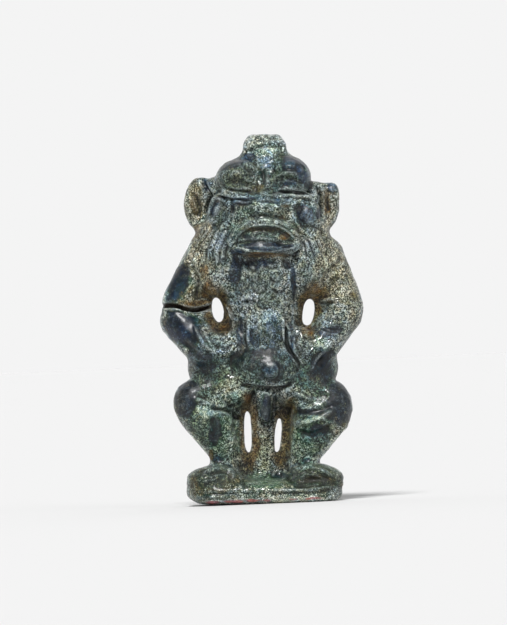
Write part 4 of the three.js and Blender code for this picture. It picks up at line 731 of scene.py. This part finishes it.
def paint(piece):
    mesh = piece.data
    edges = readEdges(mesh)
    places = toShares(readPoints(mesh))
    normals = readNormals(mesh)
    forward = -normals[:, 1]
    seen = places[:, [0, 2]]

    skin, depth = places, {}
    for kind, rounds in brush["smoothing"].items():
        skin = relaxed(skin, edges, rounds)
        depth[kind] = ((skin - places) * normals).sum(1)

    slow = {}
    for seed, size in brush["slow"].items():
        slow[seed] = sum(share * rumple(places, size / less, seed) for share, less in brush["slowParts"])
    sway = sum(far * np.array([rumple(places, size, seed) for seed in seeds]).T
               for far, size, seeds in brush["sway"])
    front = smoothStep(*brush["front"], forward)
    for name, dabs in coats.items():
        much, change, seed = brush["behind"][name]
        anywhere = much + change * slow[seed]
        if name in brush["inHollows"]:
            anywhere *= smoothStep(*brush["inHollows"][name], depth["broad"])
        writeMask(mesh, name, front * dabbed(places, sway, dabs) + (1 - front) * np.clip(anywhere, 0, 1))

    for name, parts in brush["relief"].items():
        cover = sum(share * smoothStep(low, high, depth[kind]) for kind, low, high, share in parts)
        writeMask(mesh, name, cover)
    for name, sign in brush["lines"].items():
        cover = np.zeros(len(places))
        for *line, halfWidth, height in allCuts():
            if height * sign > 0:
                strength = min(abs(height) * brush["lineStrength"], brush["lineMost"])
                cover = np.maximum(cover, nearness(seen, line, halfWidth * brush["lineWidth"]) * strength)
        writeMask(mesh, name, cover * smoothStep(*brush["lineFront"], forward))
    inCrack = nearness(seen, crack[:-2], brush["crackWidth"])
    writeMask(mesh, "crack", inCrack * smoothStep(*brush["crackFront"], forward))


# Shader helpers

def addNode(tree, kind, **settings):
    node = tree.nodes.new(kind)
    for name, value in settings.items():
        setattr(node, name, value)
    return node


def plug(tree, source, socket):
    if isinstance(source, bpy.types.NodeSocket):
        tree.links.new(source, socket)
    else:
        socket.default_value = source


def maths(tree, operation, a, b=0.0, clamp=False):
    node = addNode(tree, "ShaderNodeMath", operation=operation, use_clamp=clamp)
    plug(tree, a, node.inputs[0])
    plug(tree, b, node.inputs[1])
    return node.outputs[0]


def plus(tree, first, *others):
    for other in others:
        first = maths(tree, "ADD", first, other)
    return first


def times(tree, first, *others):
    for other in others:
        first = maths(tree, "MULTIPLY", first, other)
    return first


def mixed(tree, amount, below, above, blend="MIX"):
    node = addNode(tree, "ShaderNodeMix", data_type="RGBA", blend_type=blend, clamp_factor=True)
    plug(tree, amount, node.inputs["Factor"])
    plug(tree, below, node.inputs[6])
    plug(tree, above, node.inputs[7])
    return node.outputs[2]


def tinted(tree, amount, surface, tone):
    return mixed(tree, amount, surface, tone, "MULTIPLY")


def mapped(tree, value, low, high, toLow=0.0, toHigh=1.0):
    node = addNode(tree, "ShaderNodeMapRange", clamp=True)
    for socket, number in zip(node.inputs, (value, low, high, toLow, toHigh)):
        plug(tree, number, socket)
    return node.outputs[0]


def noiseOf(tree, where, size, detail, roughness, distortion):
    # size is the length of a lump, in metres
    node = addNode(tree, "ShaderNodeTexNoise")
    values = {"Scale": 1 / size, "Detail": detail, "Roughness": roughness, "Distortion": distortion}
    for name, value in values.items():
        node.inputs[name].default_value = value
    tree.links.new(where, node.inputs["Vector"])
    return node.outputs["Fac"]


def patterned(tree, where, name):
    size, detail, roughness, distortion, *levels = glaze["noises"][name]
    return mapped(tree, noiseOf(tree, where, size, detail, roughness, distortion), *levels)


def veins(tree, where, name):
    # thin wandering lines, where a soft noise passes its middle value
    size, detail, roughness, distortion, *levels = glaze["veins"][name]
    centred = maths(tree, "SUBTRACT", noiseOf(tree, where, size, detail, roughness, distortion), 0.5)
    return mapped(tree, maths(tree, "ABSOLUTE", centred), *levels)


def pellets(tree, where):
    # rounded lumps packed together, lower at their borders
    size, stirring, *levels = glaze["pellets"]
    stir = addNode(tree, "ShaderNodeTexNoise")
    stir.inputs["Scale"].default_value = 1 / (size * stirring)
    tree.links.new(where, stir.inputs["Vector"])
    swirl = addNode(tree, "ShaderNodeVectorMath", operation="MULTIPLY_ADD")
    tree.links.new(stir.outputs["Color"], swirl.inputs[0])
    swirl.inputs[1].default_value = (size, size, size)
    tree.links.new(where, swirl.inputs[2])
    cells = addNode(tree, "ShaderNodeTexVoronoi", feature="DISTANCE_TO_EDGE")
    cells.inputs["Scale"].default_value = 1 / size
    tree.links.new(swirl.outputs[0], cells.inputs["Vector"])
    return mapped(tree, cells.outputs["Distance"], *levels)


def newGroup(name, inputs, outputs):
    group = bpy.data.node_groups.new(name, "ShaderNodeTree")
    for socketName, kind in inputs.items():
        group.interface.new_socket(name=socketName, in_out="INPUT", socket_type=kind)
    for socketName, kind in outputs.items():
        group.interface.new_socket(name=socketName, in_out="OUTPUT", socket_type=kind)
    source, result = group.nodes.new("NodeGroupInput"), group.nodes.new("NodeGroupOutput")
    return group, source.outputs, result.inputs


def placeGroup(tree, group, **values):
    node = addNode(tree, "ShaderNodeGroup", node_tree=group)
    for name, value in values.items():
        plug(tree, value, node.inputs[name])
    return node.outputs[0]


def colour(text):
    # a screen colour such as 5c7d74, as linear light
    channels = [int(text[k:k + 2], 16) / 255 for k in (0, 2, 4)]
    return [c / 12.92 if c < 0.04045 else ((c + 0.055) / 1.055) ** 2.4 for c in channels] + [1]


def raggedGroup():
    # turns a soft cover into patches with a torn edge
    inputs = dict.fromkeys(("Cover", "Ragged", "Noise", "Soft"), "NodeSocketFloat")
    group, given, result = newGroup("raggedEdge", inputs, {"Mask": "NodeSocketFloat"})
    uneven = times(group, maths(group, "SUBTRACT", given["Noise"], 0.5), given["Ragged"])
    low = maths(group, "SUBTRACT", 0.5, given["Soft"])
    high = plus(group, 0.5, given["Soft"])
    group.links.new(mapped(group, plus(group, given["Cover"], uneven), low, high), result["Mask"])
    return group


def flakeGroup():
    # a coat broken into dark gaps, a middle tone and pale flakes
    tones = dict.fromkeys(("Gap", "Middle", "Flake"), "NodeSocketColor")
    amounts = dict.fromkeys(("Speck", "Spread"), "NodeSocketFloat")
    group, given, result = newGroup("flakedCoat", tones | amounts, {"Color": "NodeSocketColor"})
    stretched = times(group, maths(group, "SUBTRACT", given["Speck"], 0.5), given["Spread"])
    dark, light = mapped(group, stretched, *glaze["gaps"]), mapped(group, stretched, *glaze["flakes"])
    lower = mixed(group, dark, given["Gap"], given["Middle"])
    group.links.new(mixed(group, light, lower, given["Flake"]), result["Color"])
    return group


glaze = {
    "ground": {  # gaps, middle tone, flakes, and how far these part
        "body": ("061313", "2f4c47", "c9dad6", 1.4),
        "olive": ("13170a", "50543a", "dadcc8", 1.4),
    },
    "coats": {  # the same, then how torn and how soft the coat's border is; lowest coat first
        "teal": ("08190f", "38604e", "c4ddce", 1.4, 1, 0.14),
        "khaki": ("1c1c10", "605d47", "d9d8c3", 1.15, 1, 0.14),
        "deep": ("08120f", "22362f", "93a59c", 1.3, 1, 0.14),
        # the next: bleached skin, and painted highlights and painted light
        "pale": ("414d50", "8c9799", "eef4f5", 1.2, 1, 0.14),
        "navy": ("0c0f18", "1d222e", "474f60", 0.7, 0.7, 0.14),
        "azure": ("0b161e", "273a47", "5d7685", 0.85, 0.9, 0.14),
        "dirt": ("33240a", "5f481b", "907746", 1.1, 0.7, 0.35),
        "rust": ("4a300e", "7c5821", "a58a52", 1.1, 0.9, 0.35),
        "paint": ("6a3c42", "a9626d", "cda2a7", 1, 0.7, 0.14),
    },
    "coatStrength": 0.92,
    "gaps": (-0.15, -0.05),  # levels of the speckle from gap to middle tone, then from there to flake
    "flakes": (0.08, 0.18),
    "noises": {  # size, detail, roughness and distortion, then from what levels to what levels
        "fleck": (0.23e-3, 3, 0.6, 1.2, 0.33, 0.67, 0, 0.14),
        "grit": (0.16e-3, 1, 0.5, 1.1, 0.38, 0.62, 0, 0.3),
        "blotch": (0.7e-3, 3, 0.6, 0.6, 0.33, 0.67, 0.04, 0.14),
        "patch": (1.6e-3, 4, 0.6, 0.3, 0.33, 0.67),
        "busy": (1.3e-3, 2, 0.5, 0.6, 0.36, 0.64, 0.7, 1.25),
        "olive": (0.55e-3, 2, 0.5, 0.5, 0.44, 0.68),
        "wash": (1.1e-3, 2, 0.5, 0.8, 0.35, 0.65, 0.5, 1),
        "warmth": (0.6e-3, 2, 0.5, 0.8, 0.38, 0.62),
        "green": (0.78e-3, 2, 0.5, 0.8, 0.42, 0.62),
    },
    "veins": {  # the same, with levels counted from the noise's middle
        "light": (0.29e-3, 2, 0.5, 1.4, 0.02, 0.12, 0.34, 0),
        "dark": (0.31e-3, 2, 0.5, 1.4, 0.02, 0.12, -0.34, 0),
    },
    "pellets": (0.62e-3, 1.6, 0, 0.4, 0.14, 0.21),  # size, how much larger what stirs them is, levels
    "washes": {  # these and the next five multiply the colour below them
        "blue": (0.66, 0.94, 1.28), "green": (0.75, 1.02, 0.84), "ochre": (1.07, 1, 0.7),
        # painted shade, partly darker glaze, then painted light and painted highlights
        "shadeAndDarkGlaze": (0.5, 0.53, 0.56), "lit": (1.6, 1.58, 1.56),
    },
    # painted shade in the valleys, then painted light on the crests
    "hollow": (0.36, 0.38, 0.38),
    "crestLight": (1.2, 1.2, 1.2),
    "cool": (0.9, 1.01, 1.22),  # the hue wanders between this and the next
    "warm": (1.15, 1.04, 0.83),
    "greenness": (0.9, 1.01, 0.94),
    "drift": (0.1, 0.03, 0.07),      # how far apart the washes' noises lie
    "fading": (0.16, 0.55, 0, 0.5),  # how bright a flake is where it starts to lose its hue, and how much
    # dark grime and painted shade in the crevices and along the grooves
    "grimeAndShade": ("171b15", 0.75),
    "wearAndHighlight": ("bcc7c6", (0.3, 0.7, 0.2, 0.95)),  # pale wear and painted highlight on the ridges, more where the speckle is high
    "crackDirt": ("3a270f", 0.9),
    "contrast": 1.2,
    "calmSpeck": (0, 1, 1, 0.34),    # how much of the speckle, then of the wear and painted highlight and of the glints, calm places keep
    "calmWearHighlightAndGlints": (0, 1, 1, 0.3),
    "khakiMatt": 0.6,                # how matt khaki is, where dirt is 1
    "roughness": (0, 1, 0.36, 0.6),  # from glossy to matt
    "glints": (0.52, 0.66),          # levels of the speckle where the coat starts to glint and is full
    "mattGlints": (0, 1, 1, 0.3),    # how much of that matt places keep
    "coat": (0, 1, 0.04, 0.8),       # the coat's weight, from no glint to a full one
    "navyPits": (0, 1, 0.2, 1),      # how pitted navy is, and the other coats
    "patchPits": 0.5,                # how much the patches add to the pits
    "pitDepth": 0.07e-3,
    "shader": {
        "IOR": 1.5, "Specular IOR Level": 0.36, "Coat Roughness": 0.06, "Coat IOR": 2,
        "Sheen Weight": 0.2, "Sheen Roughness": 0.3, "Sheen Tint": colour("c4ccd4"),
    },
}


def coated(tree, where, mask, speck, patch, excitement):
    # the ground and the coats over it, and how much each of them covers
    ragged, flaked = raggedGroup(), flakeGroup()
    torn = times(tree, plus(tree, patch, speck), 0.5)

    def coatColour(gap, middle, flake, spread):
        parts = {"Gap": colour(gap), "Middle": colour(middle), "Flake": colour(flake)}
        return placeGroup(tree, flaked, **parts, Speck=speck, Spread=times(tree, excitement, spread))

    body, olive = (coatColour(*values) for values in glaze["ground"].values())
    surface = mixed(tree, patterned(tree, where, "olive"), body, olive)
    covers = {}
    for name, (*tones, border, soft) in glaze["coats"].items():
        covers[name] = placeGroup(tree, ragged, Cover=mask[name], Ragged=border, Noise=torn, Soft=soft)
        surface = mixed(tree, times(tree, covers[name], glaze["coatStrength"]), surface, coatColour(*tones))
    return surface, covers


def washed(tree, surface, mask, drift):
    # thin washes, painted shade and painted light among them, painted shade in the valleys, painted light on
    # the crests, and small shifts of hue
    for name, wash in glaze["washes"].items():
        amount = times(tree, mask[name], patterned(tree, drift[name], "wash"))
        surface = tinted(tree, amount, surface, (*wash, 1))
    # painted shade in the valleys
    surface = tinted(tree, mask["valleyShade"], surface, (*glaze["hollow"], 1))
    # painted light on the crests
    surface = tinted(tree, mask["crestLight"], surface, (*glaze["crestLight"], 1))
    hue = mixed(tree, patterned(tree, drift["shadeAndDarkGlaze"], "warmth"), (*glaze["cool"], 1), (*glaze["warm"], 1))
    surface = tinted(tree, 1.0, surface, hue)
    surface = tinted(tree, patterned(tree, drift["lit"], "green"), surface, (*glaze["greenness"], 1))
    brightness = addNode(tree, "ShaderNodeRGBToBW")
    tree.links.new(surface, brightness.inputs[0])
    grey = brightness.outputs[0]
    return mixed(tree, mapped(tree, grey, *glaze["fading"]), surface, grey)


def aged(tree, surface, mask, speck, lively):
    # grime and painted shade in the cuts, pale wear and painted highlight on the ridges, and dirt in the
    # crack
    tone, strength = glaze["grimeAndShade"]
    grimeAndShade = times(tree, maths(tree, "MAXIMUM", mask["crevice"], mask["groove"]), strength)
    surface = mixed(tree, grimeAndShade, surface, colour(tone))
    # pale wear and painted highlight on ridges and raised cuts
    tone, levels = glaze["wearAndHighlight"]
    wornAndLitRidges = maths(tree, "MAXIMUM", mask["ridge"], mask["edge"])
    wearAndHighlight = times(tree, wornAndLitRidges, mapped(tree, speck, *levels), lively)
    surface = mixed(tree, wearAndHighlight, surface, colour(tone))
    tone, strength = glaze["crackDirt"]
    surface = mixed(tree, times(tree, mask["crack"], strength), surface, colour(tone))
    deeper = addNode(tree, "ShaderNodeGamma")
    tree.links.new(surface, deeper.inputs["Color"])
    deeper.inputs["Gamma"].default_value = glaze["contrast"]
    return deeper.outputs["Color"]


def weatheredGlaze():
    material = bpy.data.materials.new("weatheredGlaze")
    material.use_nodes = True
    tree = material.node_tree
    tree.nodes.clear()
    where = addNode(tree, "ShaderNodeTexCoord").outputs["Object"]
    mask = {name: addNode(tree, "ShaderNodeAttribute", attribute_name=name).outputs["Fac"]
            for name in (*coats, *brush["relief"], *brush["lines"], "crack")}
    drift = {}
    for k, name in enumerate(glaze["washes"]):
        shifted = addNode(tree, "ShaderNodeVectorMath", operation="ADD")
        plug(tree, where, shifted.inputs[0])
        x, y, z = glaze["drift"]
        shifted.inputs[1].default_value = (x * k, y, z * k)
        drift[name] = shifted.outputs[0]

    patch = patterned(tree, where, "patch")
    grains = [patterned(tree, where, name) for name in ("fleck", "grit", "blotch")]
    crazing = [veins(tree, drift["blue"], "light"), veins(tree, where, "dark")]
    speck = plus(tree, *grains, *crazing, pellets(tree, where))
    excitement = times(tree, mapped(tree, mask["calm"], *glaze["calmSpeck"]), patterned(tree, where, "busy"))
    lively = mapped(tree, mask["calm"], *glaze["calmWearHighlightAndGlints"])
    surface, covers = coated(tree, where, mask, speck, patch, excitement)
    surface = aged(tree, washed(tree, surface, mask, drift), mask, speck, lively)

    shader = addNode(tree, "ShaderNodeBsdfPrincipled")
    for name, value in glaze["shader"].items():
        shader.inputs[name].default_value = value
    matt = maths(tree, "MAXIMUM", covers["dirt"], times(tree, covers["khaki"], glaze["khakiMatt"]))
    pitted = maths(tree, "SUBTRACT", 1.0, covers["navy"], clamp=True)
    # glints fade where the painted shade lies
    bright = maths(tree, "SUBTRACT", 1.0, mask["shadeAndDarkGlaze"], clamp=True)
    glints = times(tree, mapped(tree, speck, *glaze["glints"]), mapped(tree, matt, *glaze["mattGlints"]),
                   bright, lively, pitted)
    pits = times(tree, plus(tree, speck, times(tree, patch, glaze["patchPits"])),
                 mapped(tree, pitted, *glaze["navyPits"]), excitement)
    bump = addNode(tree, "ShaderNodeBump")
    bump.inputs["Distance"].default_value = glaze["pitDepth"]
    bump.inputs["Strength"].default_value = 1
    tree.links.new(pits, bump.inputs["Height"])
    tree.links.new(surface, shader.inputs["Base Color"])
    tree.links.new(mapped(tree, matt, *glaze["roughness"]), shader.inputs["Roughness"])
    tree.links.new(mapped(tree, glints, *glaze["coat"]), shader.inputs["Coat Weight"])
    tree.links.new(bump.outputs["Normal"], shader.inputs["Normal"])
    output = addNode(tree, "ShaderNodeOutputMaterial")
    tree.links.new(shader.outputs[0], output.inputs["Surface"])
    return material


# The setting: pale floor, pale surroundings and soft lamps

setting = {
    "floor": 2.5,
    "floorSides": 96,
    "floorRoughness": 0.9,
    "backdrop": "f4f4f4",
    "surround": (0.12, 1.1),   # brightness of the room around and behind
    "surroundTurn": (0, 0.9),  # how far behind the brightness starts and is full
    "lightSteps": 201,         # fineness of the sum over the room's light
    "key": {"strength": 3.4, "angle": 16, "azimuth": -10, "elevation": 50},
    "fill": {"strength": 0.7, "angle": 60, "azimuth": 60, "elevation": 25},
    "distance": 0.9,
    "film": 36,
    "pixelShare": 1 / 3.36,    # shares to one pixel of the photograph
    "solePixel": (263, 492),   # the middle of the soles there
    "pictureSize": (507, 625),
}


def roomLight():
    # what the surroundings give a white floor: their mean over a disc
    grid = np.linspace(-1, 1, setting["lightSteps"])
    across, back = np.meshgrid(grid, grid)
    back = back[across ** 2 + back ** 2 < 1]
    start, full = setting["surroundTurn"]
    around, behind = setting["surround"]
    return float(np.mean(around + (behind - around) * np.clip((back - start) / (full - start), 0, 1)))


def plainFloor(light):
    mesh = bpy.data.meshes.new("paleFloor")
    sides = setting["floorSides"]
    ring = [2 * math.pi * k / sides for k in range(sides)]
    corners = [(setting["floor"] * math.cos(a), setting["floor"] * math.sin(a), 0) for a in ring]
    mesh.from_pydata(corners, [], [list(range(sides))])
    floor = bpy.data.objects.new("paleFloor", mesh)
    bpy.context.scene.collection.objects.link(floor)
    material = bpy.data.materials.new("palePaper")
    material.use_nodes = True
    shader = material.node_tree.nodes["Principled BSDF"]
    shader.inputs["Base Color"].default_value = [c / light for c in colour(setting["backdrop"])[:3]] + [1]
    shader.inputs["Roughness"].default_value = setting["floorRoughness"]
    shader.inputs["Specular IOR Level"].default_value = 0
    mesh.materials.append(material)


def surroundings():
    world = bpy.data.worlds.new("studio")
    bpy.context.scene.world = world
    world.use_nodes = True
    tree = world.node_tree
    tree.nodes.clear()
    lit = addNode(tree, "ShaderNodeBackground")
    lit.inputs["Color"].default_value = (1, 1, 1, 1)
    way = addNode(tree, "ShaderNodeSeparateXYZ")
    tree.links.new(addNode(tree, "ShaderNodeTexCoord").outputs["Generated"], way.inputs[0])
    strength = mapped(tree, way.outputs["Y"], *setting["surroundTurn"], *setting["surround"])
    tree.links.new(strength, lit.inputs["Strength"])
    seen = addNode(tree, "ShaderNodeBackground")
    seen.inputs["Color"].default_value = colour(setting["backdrop"])
    mix = addNode(tree, "ShaderNodeMixShader")
    tree.links.new(addNode(tree, "ShaderNodeLightPath").outputs["Is Camera Ray"], mix.inputs["Fac"])
    tree.links.new(lit.outputs[0], mix.inputs[1])
    tree.links.new(seen.outputs[0], mix.inputs[2])
    tree.links.new(mix.outputs[0], addNode(tree, "ShaderNodeOutputWorld").inputs["Surface"])


def softLamp(name):
    # a far, wide lamp, so that the floor is lit as evenly as the surroundings
    values = setting[name]
    lamp = bpy.data.lights.new(name, "SUN")
    lamp.energy = values["strength"]
    lamp.angle = math.radians(values["angle"])
    holder = bpy.data.objects.new(name, lamp)
    turn, rise = math.radians(values["azimuth"]), math.radians(values["elevation"])
    toLamp = Vector((math.sin(turn) * math.cos(rise), -math.cos(turn) * math.cos(rise), math.sin(rise)))
    holder.rotation_euler = toLamp.to_track_quat("Z", "Y").to_euler()
    bpy.context.scene.collection.objects.link(holder)
    return lamp.energy * math.sin(rise) / math.pi  # what it adds to a white floor


def pictureCamera():
    # the body stands upright in the photograph, so the camera leans with it
    wide, high = setting["pictureSize"]
    soleAcross, soleDown = setting["solePixel"]
    across = (wide / 2 - soleAcross) * setting["pixelShare"]
    up = (soleDown - high / 2) * setting["pixelShare"]
    away = setting["distance"]
    camera = bpy.data.cameras.new("pictureCamera")
    camera.sensor_width = setting["film"]
    camera.lens = setting["film"] * away / (high * setting["pixelShare"] * seat["share"])
    holder = bpy.data.objects.new("pictureCamera", camera)
    holder.location = toMetres(np.array([[across, -away / seat["share"], up]]))[0]
    holder.rotation_euler = (math.radians(90), seat["lean"], 0)
    bpy.context.scene.collection.objects.link(holder)
    bpy.context.scene.camera = holder


figure = evenSkin(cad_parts["bes_figure"], clay["grain"], "besFigure")
print("even skin:", len(figure.data.polygons), "faces")
sculpt(figure)
print("carved")
thinned(figure, clay["faces"])
print("thinned:", len(figure.data.polygons), "faces")
paint(figure)
figure.data.materials.append(weatheredGlaze())
figure.data.shade_smooth()
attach(figure, "root")
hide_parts("bes_figure")
print("figure painted")

surroundings()
plainFloor(roomLight() + softLamp("key") + softLamp("fill"))
pictureCamera()
bpy.context.scene.view_settings.view_transform = "Standard"
print("setting ready")
